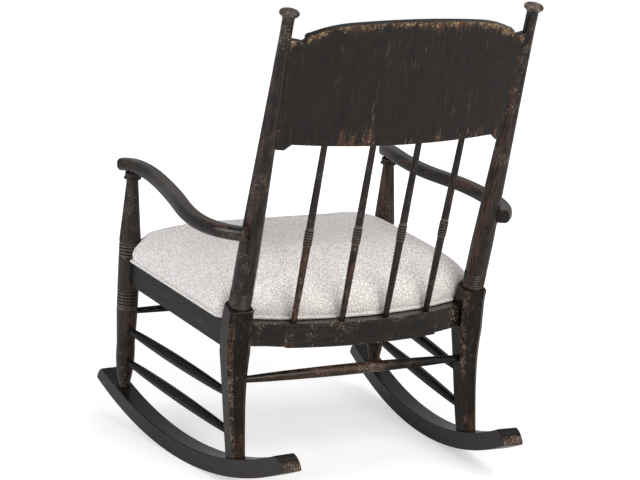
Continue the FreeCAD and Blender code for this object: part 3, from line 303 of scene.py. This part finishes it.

# %% [markdown]
# ## The painted pieces
# The same paint is on every painted piece, but each family is worn in its own places: the finials
# where they are gripped, the crest along its top and bottom, the rockers at their sawn ends. So
# each family has a material of its own, made by one function, and a small rule says where it is
# worn more. Turned rings get a painted highlight in pale grey on their crowns, which the function
# finds as the faces that look straight out from the turned piece between two heights.


# %% A painted material
def surface(tree, group_node, bump, **fixed):
    """Shader and output for a material, with its group's colour, roughness and height."""
    shader = put(tree, "ShaderNodeBsdfPrincipled")
    for label, value in fixed.items():
        shader.inputs[label.replace("_", " ")].default_value = value
    relief = put(tree, "ShaderNodeBump", {"Strength": 0.6, "Distance": bump,
                                          "Height": group_node.outputs["Height"]})
    tree.links.new(group_node.outputs["Color"], shader.inputs["Base Color"])
    tree.links.new(group_node.outputs["Roughness"], shader.inputs["Roughness"])
    tree.links.new(relief.outputs["Normal"], shader.inputs["Normal"])
    end = put(tree, "ShaderNodeOutputMaterial")
    tree.links.new(shader.outputs["BSDF"], end.inputs["Surface"])


def empty_material(name):
    material = bpy.data.materials.new(name)
    material.use_nodes = True
    material.node_tree.nodes.clear()
    return material


def bead_tops(tree, lean):
    """Faces that look straight out from a turned piece: the tops of its beads, not its grooves,
    where a highlight is painted.
    """
    normal = put(tree, "ShaderNodeNewGeometry").outputs["Normal"]
    axis = (0.0, math.sin(lean), math.cos(lean))
    along = put(tree, "ShaderNodeVectorMath", {0: normal, 1: axis}, operation="DOT_PRODUCT")
    return fade_out(tree, unsigned(tree, along.outputs["Value"]), 0.1, 0.4)


def between(tree, value, low, high):
    """One inside a range, with soft ends."""
    soft = 0.002
    return times(tree, fade(tree, value, low - soft, low + soft),
                 fade_out(tree, value, high - soft, high + soft))


def painted(name, along, brown, flecks, edge_width=0.005, places=None, shine=0.27, rings=(),
            **colours):
    """Rubbed paint with the grain along one axis and a rule for the places worn most."""
    material = empty_material(name)
    tree = material.node_tree
    edges = place_effect(tree, rubbed_edges, {"Width": edge_width})
    thin = edges.outputs["Broad"]
    bare = edges.outputs["Narrow"]
    if places:
        more_thin, more_bare = places(tree, chair_place(tree))
        thin = maths(tree, "MAXIMUM", thin, more_thin)
        bare = maths(tree, "MAXIMUM", bare, more_bare)
    # Ring crowns between the given heights get a painted highlight.
    pale = 0.0
    if rings:
        up = parts_of(tree, chair_place(tree))[2]
        for low, high in rings:
            pale = plus(tree, pale, between(tree, up, low, high), clamp=True)
        pale = times(tree, pale, bead_tops(tree, colours.get("Lean", 0.0)))
    paint = place_effect(tree, old_paint, {
        "Highlight places": pale, "Along": along, "Brown": brown, "Brown places": thin,
        "Bare places": bare, "Flecks": flecks, "Shade and dirt": edges.outputs["Shade and dirt"], **colours})
    surface(tree, paint, 0.0005, Specular_IOR_Level=shine)
    return material


upright = (60.0, 60.0, 4.5)
sideways = (4.5, 60.0, 60.0)
lengthwise = (60.0, 4.5, 60.0)
print("grain directions ready")

# %% [markdown]
# ### Where each family is worn
# A rule takes the place on the chair and gives back two masks from 0 to 1, for thin paint and for
# bare wood. The finials are the top 20 mm of the back posts. The rockers' ends are more than
# 0.41 m from the middle. On the crest the worn band follows the curved top edge, so the rule
# measures the distance below a shallow arc across the panel, along the rake of the back.


# %% Rules for worn places
rake = math.radians(22.1)


def facing(tree):
    """The three parts of the surface's direction: to the side, to the back and to the top."""
    return parts_of(tree, put(tree, "ShaderNodeNewGeometry").outputs["Normal"])


def finial_places(tree, where):
    """The tops of the finials."""
    up = parts_of(tree, where)[2]
    top = fade(tree, up, 0.987, 0.996)
    return times(tree, top, 0.6), times(tree, top, 0.36)


def rocker_places(tree, where):
    """The sawn ends face back and forward, and lost all their paint but the last coat."""
    far = unsigned(tree, parts_of(tree, where)[1])
    to_end = unsigned(tree, facing(tree)[1])
    end = times(tree, fade(tree, to_end, 0.6, 0.75), fade(tree, far, 0.41, 0.42))
    near = fade(tree, far, 0.425, 0.45)
    thin = maths(tree, "MAXIMUM", times(tree, end, 0.62), times(tree, near, 0.25))
    return thin, times(tree, end, 0.5)


def leg_places(tree, where):
    """The flats cut off the corners are speckled, and the backs are brown near the floor."""
    up = parts_of(tree, where)[2]
    to_side, to_back = facing(tree)[:2]
    flat = maths(tree, "MINIMUM", unsigned(tree, to_side), unsigned(tree, to_back))
    flat = fade(tree, flat, 0.3, 0.5)
    foot = times(tree, fade_out(tree, up, 0.09, 0.17), fade(tree, to_back, 0.5, 0.9))
    thin = maths(tree, "MAXIMUM", times(tree, flat, 0.5), times(tree, foot, 0.75))
    return thin, times(tree, flat, 0.34)


def drips(tree, where, shortest, longest, wide):
    """Wear that runs away from an edge, for each place across the panel a length of its own."""
    columns = noise(tree, stretched(tree, where, (wide, 1.0, 7.0)), 1.0, 5.0, 0.7)
    share = fade(tree, columns, 0.36, 0.68)
    return plus(tree, shortest, times(tree, share, longest - shortest))


def crest_places(tree, where):
    """Distances are measured down from the curved top edge and up from the straight bottom one."""
    top_edge = 1.1079
    bottom_edge = 0.839
    curve = 3.2
    across, back, up = parts_of(tree, where)
    height = plus(tree, times(tree, up, math.cos(rake)), times(tree, back, math.sin(rake)))
    out = unsigned(tree, across)
    drop = times(tree, maths(tree, "POWER", out, 3.0), curve)
    under = minus(tree, minus(tree, top_edge, drop), height)
    over = minus(tree, height, bottom_edge)
    on_face = fade(tree, facing(tree)[1], 0.4, 0.7)

    def band(distance, shortest, longest, wide, low, high):
        """The worn band along one edge, ending in drips."""
        past = minus(tree, distance, drips(tree, where, shortest, longest, wide))
        return fade_out(tree, past, low, high)

    top = band(under, 0.006, 0.034, 45.0, -0.02, 0.008)
    gold_band = band(under, 0.006, 0.024, 60.0, -0.014, 0.006)
    low = band(over, -0.03, 0.055, 32.0, -0.03, 0.006)
    side = times(tree, fade(tree, out, 0.235, 0.262),
                 fade(tree, noise(tree, where, 24.0, 4.0, 0.65), 0.4, 0.6))
    worn = maths(tree, "MAXIMUM", maths(tree, "MAXIMUM", top, low), side)
    bare = maths(tree, "MAXIMUM", gold_band, times(tree, low, 0.6))
    bare = maths(tree, "MAXIMUM", bare, times(tree, side, 0.5))
    return (times(tree, worn, times(tree, on_face, 0.9)),
            times(tree, bare, times(tree, on_face, 0.72)))


def spindle_places(tree, where):
    """The parts below the ringed middles are brown."""
    up = parts_of(tree, where)[2]
    below = times(tree, fade_out(tree, up, 0.5, 0.56),
                  fade(tree, noise(tree, where, 9.0, 3.0, 0.6), 0.42, 0.6))
    return times(tree, below, 0.62), times(tree, below, 0.26)


def middle_places(tree, where):
    """The thick middle of the rear stretcher, where heels catch."""
    across = parts_of(tree, where)[0]
    near = fade_out(tree, unsigned(tree, across), 0.04, 0.2)
    return times(tree, near, 0.62), times(tree, near, 0.32)


def rail_places(tree, where):
    """The rear rail's faces meet in a crease on each side, and knocks have left a pale line."""
    crease = 0.1742
    across, back = parts_of(tree, where)[:2]
    away = unsigned(tree, minus(tree, unsigned(tree, across), crease))
    line = times(tree, fade_out(tree, away, 0.001, 0.003), fade(tree, back, 0.2, 0.21))
    return times(tree, line, 0.3), times(tree, line, 0.3)


print("rules ready, for a back that leans", round(math.degrees(rake), 1), "degrees")

# %% [markdown]
# ### One material for each family
# Each takes the grain's direction, how brown and how flecked it is, and, where it differs from
# the rest, its two tones of paint: darker and bluish on the side pieces, which is painted shade
# and a painted blue reflection, warm on the front posts, and streaked with a paler tone where
# hands go. A pair of heights says where each set of rings gets its painted highlight.

# %% Make the painted materials
# The side pieces' tones are darker and bluish: painted shade and a painted blue reflection.
shaded_blue_sides = {"Deep": (0.0042, 0.005, 0.0052, 1.0), "Faded": (0.0105, 0.0108, 0.0107, 1.0)}
plum = {"Deep": (0.0072, 0.0058, 0.0058, 1.0), "Faded": (0.019, 0.0142, 0.0134, 1.0)}
streaked = {"Deep": (0.0048, 0.0038, 0.0038, 1.0), "Faded": (0.032, 0.0235, 0.0205, 1.0)}
handled = {"Deep": (0.0042, 0.0041, 0.0041, 1.0), "Faded": (0.028, 0.0208, 0.018, 1.0)}
even = {"Deep": (0.0072, 0.0057, 0.0049, 1.0), "Faded": (0.0138, 0.0106, 0.0087, 1.0)}
warm = {"Deep": (0.0125, 0.0092, 0.008, 1.0), "Faded": (0.034, 0.0245, 0.021, 1.0)}
gold = (0.5, 0.345, 0.19, 1.0)
back_post_rings = [(0.376, 0.416)]
front_post_rings = [(0.279, 0.325), (0.405, 0.438)]
spindle_rings = [(0.515, 0.556)]
paint_posts = painted("painted back posts", upright, brown=0.75, flecks=0.75,
                      places=finial_places, rings=back_post_rings, Lean=rake, **streaked)
paint_legs = painted("painted rear legs", upright, brown=0.35, flecks=0.4, places=leg_places,
                     shine=0.15)
paint_front_posts = painted("painted front posts", upright, brown=0.8, flecks=0.62,
                            rings=front_post_rings, **warm)
paint_spindles = painted("painted spindles", upright, brown=0.45, flecks=0.5,
                         places=spindle_places, rings=spindle_rings, Lean=rake, **streaked)
paint_crest = painted("painted crest", upright, brown=0.1, flecks=0.12, places=crest_places,
                      Lean=rake, Speck=gold, **even)
paint_rails = painted("painted rails", sideways, brown=0.55, flecks=0.9, places=rail_places)
paint_sides = painted("painted side pieces", lengthwise, brown=0.2, flecks=0.35, shine=0.11,
                      **shaded_blue_sides)
paint_arms = painted("painted arms", lengthwise, brown=0.8, flecks=0.5, edge_width=0.007,
                     shine=0.28, **handled)
paint_rockers = painted("painted rockers", lengthwise, brown=0.25, flecks=0.3,
                        places=rocker_places, shine=0.18, **plum)
paint_rear_stretcher = painted("painted rear stretcher", sideways, brown=0.5, flecks=0.6,
                               places=middle_places)
print("painted materials:", sum(each.name.startswith("painted") for each in bpy.data.materials))

# %% [markdown]
# ## Bare wood and steel
# The blocks, the dowels and the seat's board are never painted. Their wood is a grain of long
# noise in two browns. The screws and staples are plain steel with a brushed look.


# %% Bare wood
def build_bare_wood():
    tree, given, end = new_effect(
        "bare wood",
        [("Along", "vector", (90.0, 4.0, 90.0)), ("Light", "colour", (0.52, 0.37, 0.22, 1.0)),
         ("Dark", "colour", (0.33, 0.2, 0.1, 1.0))], surface_results)
    along = stretched(tree, chair_place(tree), given["Along"])
    grain = noise(tree, along, 1.0, 7.0, 0.6)
    pores = noise(tree, along, 9.0, 3.0, 0.6)
    colour = blend(tree, fade(tree, grain, 0.35, 0.65), given["Dark"], given["Light"])
    colour = blend(tree, times(tree, fade(tree, pores, 0.6, 0.75), 0.4), colour, given["Dark"])
    rough = plus(tree, 0.6, times(tree, pores, 0.2))
    hand_over(tree, end, {"Color": colour, "Roughness": rough, "Height": pores})
    return tree


bare_wood = build_bare_wood()


def raw(name, along):
    """Unpainted wood with its grain along one axis."""
    material = empty_material(name)
    tree = material.node_tree
    surface(tree, place_effect(tree, bare_wood, {"Along": along}), 0.0003)
    return material


raw_blocks = raw("bare blocks", (5.0, 90.0, 90.0))
raw_board = raw("bare board", (90.0, 5.0, 90.0))
print("effect:", bare_wood.name)


# %% Screw steel
def screw_steel():
    material = empty_material("screw steel")
    tree = material.node_tree
    scratch = noise(tree, chair_place(tree), 900.0, 3.0, 0.7)
    shader = put(tree, "ShaderNodeBsdfPrincipled", {
        "Metallic": 1.0,
        "Base Color": blend(tree, scratch, (0.36, 0.35, 0.33, 1.0), (0.62, 0.61, 0.58, 1.0)),
        "Roughness": plus(tree, 0.28, times(tree, scratch, 0.25))})
    put(tree, "ShaderNodeOutputMaterial", {"Surface": shader.outputs["BSDF"]})
    return material


steel = screw_steel()
print("material:", steel.name)

# %% [markdown]
# ## Woven cloth
# The seat is covered in a soft tweed: ivory yarn with grey and brown fibres spun in, so that each
# stitch of the weave has a tone of its own. Cells of a Voronoi texture stand for the stitches.
# With little randomness they keep nearly in rows, as a weave does. A few are dark, and each
# stands up as a small round knot. Broad, faint changes of tone come on top.


# %% Effect: woven cloth
def build_woven_cloth():
    tree, given, end = new_effect(
        "woven cloth",
        [("Yarn", "value", 0.0015), ("Ground", "colour", (0.81, 0.78, 0.765, 1.0)),
         ("Fibre", "colour", (0.26, 0.235, 0.215, 1.0)), ("Uneven", "value", 1.0)], surface_results)
    place = chair_place(tree)
    per_metre = maths(tree, "DIVIDE", 1.0, given["Yarn"])
    stitch = put(tree, "ShaderNodeTexVoronoi",
                 {"Vector": place, "Scale": per_metre, "Randomness": 0.45}, feature="F1")
    tone, dark = parts_of(tree, stitch.outputs["Color"])[:2]
    spun = noise(tree, place, 600.0, 2.0, 0.6)
    broad = noise(tree, place, 8.0, 2.0, 0.5)
    shade = plus(tree, 0.56, times(tree, tone, 0.82))
    shade = times(tree, shade, plus(tree, 0.96, times(tree, broad, 0.08)))
    ground = put(tree, "ShaderNodeVectorMath", {0: given["Ground"], "Scale": shade},
                 operation="SCALE")
    fibre = plus(tree, times(tree, fade(tree, dark, 0.7, 1.0), 0.6),
                 times(tree, fade(tree, spun, 0.5, 0.75), 0.3))
    fibre = times(tree, fibre, given["Uneven"], clamp=True)
    colour = blend(tree, fibre, ground.outputs["Vector"], given["Fibre"])
    rough = plus(tree, 0.84, times(tree, spun, 0.12))
    height = minus(tree, times(tree, spun, 0.5), stitch.outputs["Distance"])
    hand_over(tree, end, {"Color": colour, "Roughness": rough, "Height": height})
    return tree


woven_cloth = build_woven_cloth()


def cloth(name, bump, sheen, **values):
    """A cloth of this weave, with its own yarn and colours."""
    material = empty_material(name)
    tree = material.node_tree
    surface(tree, place_effect(tree, woven_cloth, values), bump, Sheen_Weight=sheen,
            Sheen_Roughness=0.5, Specular_IOR_Level=0.2)
    return material


seat_cloth = cloth("seat cloth", bump=0.0004, sheen=0.06)
welt_cloth = cloth("welt cloth", bump=0.0006, sheen=0.06, Yarn=0.0013)
black_cloth = cloth("black under cloth", bump=0.0003, sheen=0.05, Yarn=0.0012, Uneven=0.5,
                    Ground=(0.02, 0.02, 0.021, 1.0), Fibre=(0.06, 0.06, 0.06, 1.0))
print("effect:", woven_cloth.name)

# %% [markdown]
# ## Which piece gets which finish
# The wooden and metal pieces keep the shapes that they were drawn with, so they only need a
# material. The start of a piece's name says which. The first start that fits counts, so the arm
# dowels come before the arms.


# %% Give the wooden and metal pieces their finish
finishes = [
    ("back_post", paint_posts), ("front_post", paint_front_posts), ("rear_leg", paint_legs),
    ("spindle", paint_spindles), ("crest", paint_crest), ("rear_stretcher", paint_rear_stretcher),
    ("front_stretcher", paint_rails), ("front_rail", paint_rails), ("rear_rail", paint_rails),
    ("side_rail", paint_sides), ("side_stretcher", paint_sides), ("arm_dowel", raw_blocks),
    ("arm", paint_arms), ("rocker", paint_rockers), ("corner_block", raw_blocks),
    ("seat_board", raw_board), ("seat_screw", steel),
]


def finish_of(name):
    for start, material in finishes:
        if name.startswith(start):
            return material
    return None


dressed = 0
for name, piece in pieces.items():
    material = finish_of(name)
    if material:
        piece.data.materials.clear()
        piece.data.materials.append(material)
        dressed += 1
print("wooden and metal pieces dressed:", dressed)

# %% [markdown]
# ## The seat's plane
# The seat slopes down to the back, so places on it are easiest to give as a distance across, a
# distance along the slope, and a height straight up from it.

# %% The seat's plane
seat_top = 0.3675
seat_tilt = math.atan(0.09)


def on_seat(across, along, lift):
    """A point over the sloping seat, from its place across, along the slope, and above it."""
    return Vector((across, along * math.cos(seat_tilt) + lift * math.sin(seat_tilt),
                   seat_top - along * math.sin(seat_tilt) + lift * math.cos(seat_tilt)))


def lift_of(point):
    """How far a point stands off the seat's plane."""
    return point.y * math.sin(seat_tilt) + (point.z - seat_top) * math.cos(seat_tilt)


print("seat slopes", round(math.degrees(seat_tilt), 1), "degrees")

# %% [markdown]
# ## The cushion
# The seat is a thick pad, crowned on top, full at the sides and drawn in at the welt. It starts
# from the space that the drawing gives it. A voxel remesh turns that solid into an even skin. The
# part above the welt is smoothed, because stuffing has no ridges, and then a cloth simulation
# blows it up while the foot stays pinned, so that it swells between the welt and the posts. How
# far a point may move is capped, and a level of subdivision smooths the result.


# %% Make the cushion
def loose_copy(node, name):
    """A separate mesh object with the shape of a drawn piece."""
    mesh = pieces[node].data.copy()
    mesh.materials.clear()
    piece = bpy.data.objects.new(name, mesh)
    scene.collection.objects.link(piece)
    return piece


def made_mesh(piece):
    """The mesh that an object's modifiers or curve settings make."""
    graph = bpy.context.evaluated_depsgraph_get()
    return bpy.data.meshes.new_from_object(piece.evaluated_get(graph))


def apply_all(piece):
    """Replace the piece's mesh by the one that its modifiers make."""
    made = made_mesh(piece)
    piece.modifiers.clear()
    piece.data = made


def shade_smooth(mesh):
    mesh.polygons.foreach_set("use_smooth", [True] * len(mesh.polygons))


def height_group(piece, name, low, high):
    """Weights that grow from 0 to 1 between two heights over the seat."""
    group = piece.vertex_groups.new(name=name)
    for vertex in piece.data.vertices:
        weight = (lift_of(vertex.co) - low) / (high - low)
        group.add([vertex.index], min(max(weight, 0.0), 1.0), "REPLACE")
    return name


def soften(piece, rounds, low, high):
    """Smooth the part of the skin that stands above a height, and give the farthest move."""
    before = [vertex.co.copy() for vertex in piece.data.vertices]
    smooth = piece.modifiers.new("soft", "SMOOTH")
    smooth.factor = 0.5
    smooth.iterations = rounds
    smooth.vertex_group = height_group(piece, "upper", low, high)
    apply_all(piece)
    return max((old - vertex.co).length for old, vertex in zip(before, piece.data.vertices))


held_below = 0.006
free_above = 0.016


def swell(piece, pressure, farthest, frames):
    """Blow the skin up with Blender's cloth, its foot pinned, and cap how far points move."""
    before = [vertex.co.copy() for vertex in piece.data.vertices]
    foot = height_group(piece, "foot", free_above, held_below)
    soft = piece.modifiers.new("stuffing", "CLOTH")
    soft.settings.quality = 5
    soft.settings.mass = 0.3
    soft.settings.tension_stiffness = 25.0
    soft.settings.compression_stiffness = 25.0
    soft.settings.shear_stiffness = 10.0
    soft.settings.bending_stiffness = 2.0
    soft.settings.vertex_group_mass = foot
    soft.settings.use_pressure = True
    soft.settings.uniform_pressure_force = pressure
    soft.settings.effector_weights.gravity = 0.0
    for number in range(1, frames + 1):
        scene.frame_set(number)
    apply_all(piece)
    scene.frame_set(1)
    farthest_seen = 0.0
    for vertex, start in zip(piece.data.vertices, before):
        moved = vertex.co - start
        farthest_seen = max(farthest_seen, moved.length)
        if moved.length > farthest:
            vertex.co = start + moved * (farthest / moved.length)
    return farthest_seen


def in_mm(metres):
    return round(metres * 1000, 1)


def make_pad():
    pad = loose_copy("seat_cushion", "cushion")
    skin = pad.modifiers.new("even skin", "REMESH")
    skin.mode = "VOXEL"
    skin.voxel_size = 0.0066
    apply_all(pad)
    print("cushion skin:", len(pad.data.vertices), "points")
    moved = soften(pad, rounds=46, low=0.03, high=0.075)
    print("smoothed by at most", in_mm(moved), "mm")
    moved = swell(pad, pressure=2.0, farthest=0.003, frames=12)
    print("blown up by at most", in_mm(moved), "mm before the cap")
    moved = soften(pad, rounds=6, low=0.0, high=0.02)
    print("smoothed again by at most", in_mm(moved), "mm")
    finer = pad.modifiers.new("finer", "SUBSURF")
    finer.levels = 1
    finer.render_levels = 1
    apply_all(pad)
    pad.data.materials.append(seat_cloth)
    shade_smooth(pad.data)
    return pad


cushion = make_pad()
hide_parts("seat_cushion")
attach(cushion, "root")
print("cushion:", len(cushion.data.polygons), "faces")

# %% [markdown]
# ## The welt
# A cord covered in the same cloth is sewn round the foot of the cushion. It is a tube along the
# seat's edge, made as a smooth curve with a round bevel, in the lengths that the posts leave. A
# slow wave in its thickness is the cloth gathering at the stitches.


# %% Make the welt
def empty_curve(name, radius, roundness):
    """A curve with a round bevel and no lines yet."""
    curve = bpy.data.curves.new(name, "CURVE")
    curve.dimensions = "3D"
    curve.bevel_depth = radius
    curve.bevel_resolution = roundness
    return curve


def add_line(curve, targets):
    """Add a smooth line that follows the given points, and give back its control points."""
    spline = curve.splines.new("NURBS")
    spline.points.add(len(targets) - 1)
    for point, target in zip(spline.points, targets):
        point.co = (*target, 1.0)
    spline.order_u = 3
    spline.use_endpoint_u = True
    return spline.points


def mesh_from(curve, name, material):
    """A mesh object made from a curve."""
    holder = bpy.data.objects.new(name + "_line", curve)
    scene.collection.objects.link(holder)
    mesh = made_mesh(holder)
    bpy.data.objects.remove(holder)
    mesh.materials.clear()
    mesh.materials.append(material)
    piece = bpy.data.objects.new(name, mesh)
    scene.collection.objects.link(piece)
    return piece


def round_cord(name, points, radius, material):
    """A cord along points, its thickness varying a little from point to point."""
    curve = empty_curve(name, radius, 4)
    curve.resolution_u = 6
    curve.use_fill_caps = True
    for index, point in enumerate(add_line(curve, points)):
        point.radius = 1.0 + gather * math.sin(index * gather_pace)
    cord = mesh_from(curve, name, material)
    shade_smooth(cord.data)
    return cord


def spread(points, step):
    """Points at even steps along straight runs between the given ones."""
    run = [points[0]]
    for first, second in zip(points, points[1:]):
        count = max(1, round((second - first).length / step))
        run += [first.lerp(second, index / count) for index in range(1, count + 1)]
    return run


def mirrored(points):
    return [Vector((-point.x, point.y, point.z)) for point in points]


welt_radius = 0.0042
welt_lift = 0.0044
welt_step = 0.014
gather = 0.04
gather_pace = 2.1
bow_radius = 0.6781
bow_middle = 0.2546
bow_reach = 0.172
bow_steps = 12
front_reach = 0.3035
front_along = -0.330


def bow(across):
    """The bowed back of the seat, at the welt."""
    drop = bow_radius - math.sqrt(bow_radius ** 2 - across ** 2)
    return on_seat(across, bow_middle - drop, welt_lift)


side_turns = [(0.3244, -0.2866), (0.2965, 0.170), (0.2935, 0.180), (0.284, 0.1895)]
beside_leg = (0.2425, 0.2055)
side_line = spread([on_seat(*place, welt_lift) for place in side_turns], welt_step)
rear_half = [bow(bow_reach * index / bow_steps) for index in range(bow_steps + 1)]
rear_half += spread([bow(bow_reach), on_seat(*beside_leg, welt_lift)], welt_step)[1:]
rear_line = mirrored(reversed(rear_half)) + rear_half[1:]
front_line = spread([on_seat(-front_reach, front_along, welt_lift),
                     on_seat(front_reach, front_along, welt_lift)], welt_step)
for name, points in (("front", front_line), ("rear", rear_line), ("side_left", side_line),
                     ("side_right", mirrored(side_line))):
    welt = round_cord("welt_" + name, points, welt_radius, welt_cloth)
    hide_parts("seat_welt_" + name)
    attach(welt, "root")
    print("welt", name, len(points), "points")

# %% [markdown]
# ## The dust cover
# Under the seat a thin black cloth is stapled to the rails, to hide the board and hold dust. It
# hangs a few millimetres in the middle. It is a grid of rows from front to back, each as wide as
# the frame is there, less what the posts and legs take, given a thickness afterwards.


# %% Make the dust cover
cover_front = -0.321
cover_front_half = 0.3250
cover_taper = 0.0612
cover_corner = 0.2485
cover_slant = 0.38
cover_lift = -0.0532
cover_hang = 0.0035
cover_ripple = 0.0004
cover_thickness = 0.0007
post_across = 0.3224
post_along = -0.3125
post_reach = 0.0261
post_cut = 0.0265
leg_along = 0.1935
leg_inside = 0.2430
rail_radius = 0.6851
rail_middle = 0.271
rail_reach = 0.174


def cover_half_width(along):
    """Half the cover's width at a place along the seat, narrower beside the posts and legs."""
    from_post = along - post_along
    across = cover_front_half - from_post * cover_taper
    if from_post < post_reach:
        across = min(across, post_across - math.sqrt(post_cut ** 2 - from_post ** 2))
    if along > leg_along:
        across = leg_inside
    return across


def cover_back(across):
    """Where the cover ends at the back, under the bowed rail."""
    if abs(across) > rail_reach:
        return cover_corner - (abs(across) - rail_reach) * cover_slant
    return rail_middle - (rail_radius - math.sqrt(rail_radius ** 2 - across ** 2))


def make_cover():
    rows = 34
    columns = 40
    mesh = bmesh.new()
    grid = []
    for row in range(rows + 1):
        share = row / rows
        points = []
        for column in range(columns + 1):
            place = column / columns * 2 - 1
            along = cover_front + (cover_corner - cover_front) * share
            across = cover_half_width(along) * place
            along = cover_front + (cover_back(across) - cover_front) * share
            hang = cover_hang * (1 - place ** 2) * 4 * share * (1 - share)
            ripple = cover_ripple * math.sin(across * 130) * (1 - math.sin(math.pi * share))
            points.append(mesh.verts.new(on_seat(across, along, cover_lift - hang + ripple)))
        grid.append(points)
    for low, high in zip(grid, grid[1:]):
        for column in range(columns):
            mesh.faces.new((low[column], low[column + 1], high[column + 1], high[column]))
    area = sum(face.calc_area() for face in mesh.faces)
    data = bpy.data.meshes.new("dust_cloth")
    mesh.to_mesh(data)
    mesh.free()
    cover = bpy.data.objects.new("dust_cloth", data)
    scene.collection.objects.link(cover)
    thick = cover.modifiers.new("thickness", "SOLIDIFY")
    thick.thickness = cover_thickness
    apply_all(cover)
    cover.data.materials.append(black_cloth)
    shade_smooth(cover.data)
    return cover, area


cover, cover_area = make_cover()
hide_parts("dust_cover")
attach(cover, "root")
print("dust cover area:", round(cover_area, 3), "square metres")

# %% [markdown]
# The staples are short crowns of wire with their legs in the wood, one every 4 to 5 cm along the
# cover's edge. Each is a small curve; together they are one piece.


# %% Make the staples
front_step, rear_step, side_step = 0.046, 0.044, 0.047
rear_inset, side_inset = 0.007, 0.008
first_side_staple = -0.255
side_slant = 0.061
half_crown = 0.0055
staple_lift = -0.0541
staple_wire = 0.0005
staple_bend = [(-1, 0.0035), (-1, -0.0006), (-0.9, -0.0009), (0.9, -0.0009), (1, -0.0006),
               (1, 0.0035)]


def staple_places():
    """Across, along and the way the crown runs, for each staple."""
    crosswise = Vector((1, 0))
    places = [(index * front_step, post_along, crosswise) for index in range(-6, 7)]
    for index in range(-5, 6):
        across = index * rear_step
        places.append((across, cover_back(across) - rear_inset, crosswise))
    for index in range(10):
        along = first_side_staple + index * side_step
        half = cover_half_width(along) - side_inset
        for side in (1, -1):
            places.append((side * half, along, Vector((-side_slant * side, 1)).normalized()))
    return places


def make_staples(places):
    """Each staple's wire goes up into the wood at both ends of its crown."""
    curve = empty_curve("staples", staple_wire, 2)
    for across, along, run in places:
        add_line(curve, [on_seat(across + run.x * share * half_crown,
                                 along + run.y * share * half_crown, staple_lift + lift)
                         for share, lift in staple_bend])
    return mesh_from(curve, "staples", steel)


where_stapled = staple_places()
staples = make_staples(where_stapled)
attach(staples, "root")
print("staples:", len(where_stapled))

# %% [markdown]
# ## Floor and light
# The studio is a white sweep lit from all sides. The floor is a pale sheet that goes white to the
# camera where no shadow falls, so only the soft shadow under the chair shows. Three lamps give
# the wood its shine: a soft one overhead, a large warm one behind, and a cool one from the left.


# %% Floor
white = (1.0, 1.0, 1.0, 1.0)


def make_floor():
    half = 9.0
    mesh = bpy.data.meshes.new("floor")
    mesh.from_pydata([(-half, -half, 0), (half, -half, 0), (half, half, 0), (-half, half, 0)], [],
                     [(0, 1, 2, 3)])
    floor = bpy.data.objects.new("floor", mesh)
    scene.collection.objects.link(floor)
    material = empty_material("white sweep")
    tree = material.node_tree
    paper = put(tree, "ShaderNodeBsdfDiffuse", {"Color": (0.8, 0.8, 0.8, 1.0)})
    seen = put(tree, "ShaderNodeLightPath").outputs["Is Camera Ray"]
    away = put(tree, "ShaderNodeVectorMath", {0: chair_place(tree)},
               operation="LENGTH").outputs["Value"]
    lift = plus(tree, 0.5, times(tree, fade(tree, away, 0.6, 3.5), 0.5))
    glow = put(tree, "ShaderNodeEmission", {"Color": white, "Strength": times(tree, seen, lift)})
    both = put(tree, "ShaderNodeAddShader", {0: paper.outputs[0], 1: glow.outputs[0]})
    put(tree, "ShaderNodeOutputMaterial", {"Surface": both.outputs[0]})
    mesh.materials.append(material)
    return floor


floor = make_floor()
print("floor:", floor.name)


# %% World and lamps
def make_world():
    world = bpy.data.worlds.new("studio")
    scene.world = world
    world.use_nodes = True
    tree = world.node_tree
    tree.nodes.clear()
    rays = put(tree, "ShaderNodeLightPath")
    lit = put(tree, "ShaderNodeBackground", {"Color": white, "Strength": 0.36})
    seen = put(tree, "ShaderNodeBackground", {"Color": white, "Strength": 1.0})
    mixed = put(tree, "ShaderNodeMixShader", {0: rays.outputs["Is Camera Ray"],
                                              1: lit.outputs[0], 2: seen.outputs[0]})
    put(tree, "ShaderNodeOutputWorld", {"Surface": mixed.outputs[0]})


middle = Vector((0.0, 0.0, 0.5))


def lamp(name, place, width, power, tint):
    """A square lamp that points at the middle of the chair."""
    data = bpy.data.lights.new(name, "AREA")
    data.shape = "SQUARE"
    data.size = width
    data.energy = power
    data.color = tint
    holder = bpy.data.objects.new(name, data)
    holder.location = place
    holder.rotation_mode = "QUATERNION"
    holder.rotation_quaternion = (middle - Vector(place)).to_track_quat("-Z", "Y")
    scene.collection.objects.link(holder)


make_world()
lamp("overhead", (-0.6, 0.2, 3.2), width=1.6, power=15.0, tint=(0.98, 0.965, 1.0))
lamp("behind right", (-0.5, 3.8, 2.3), width=2.6, power=122.0, tint=(1.0, 0.955, 0.905))
lamp("left", (3.5, 0.1, 1.5), width=1.8, power=62.0, tint=(0.965, 0.98, 1.0))
scene.view_settings.view_transform = "Standard"
print("lamps:", len(bpy.data.lights))
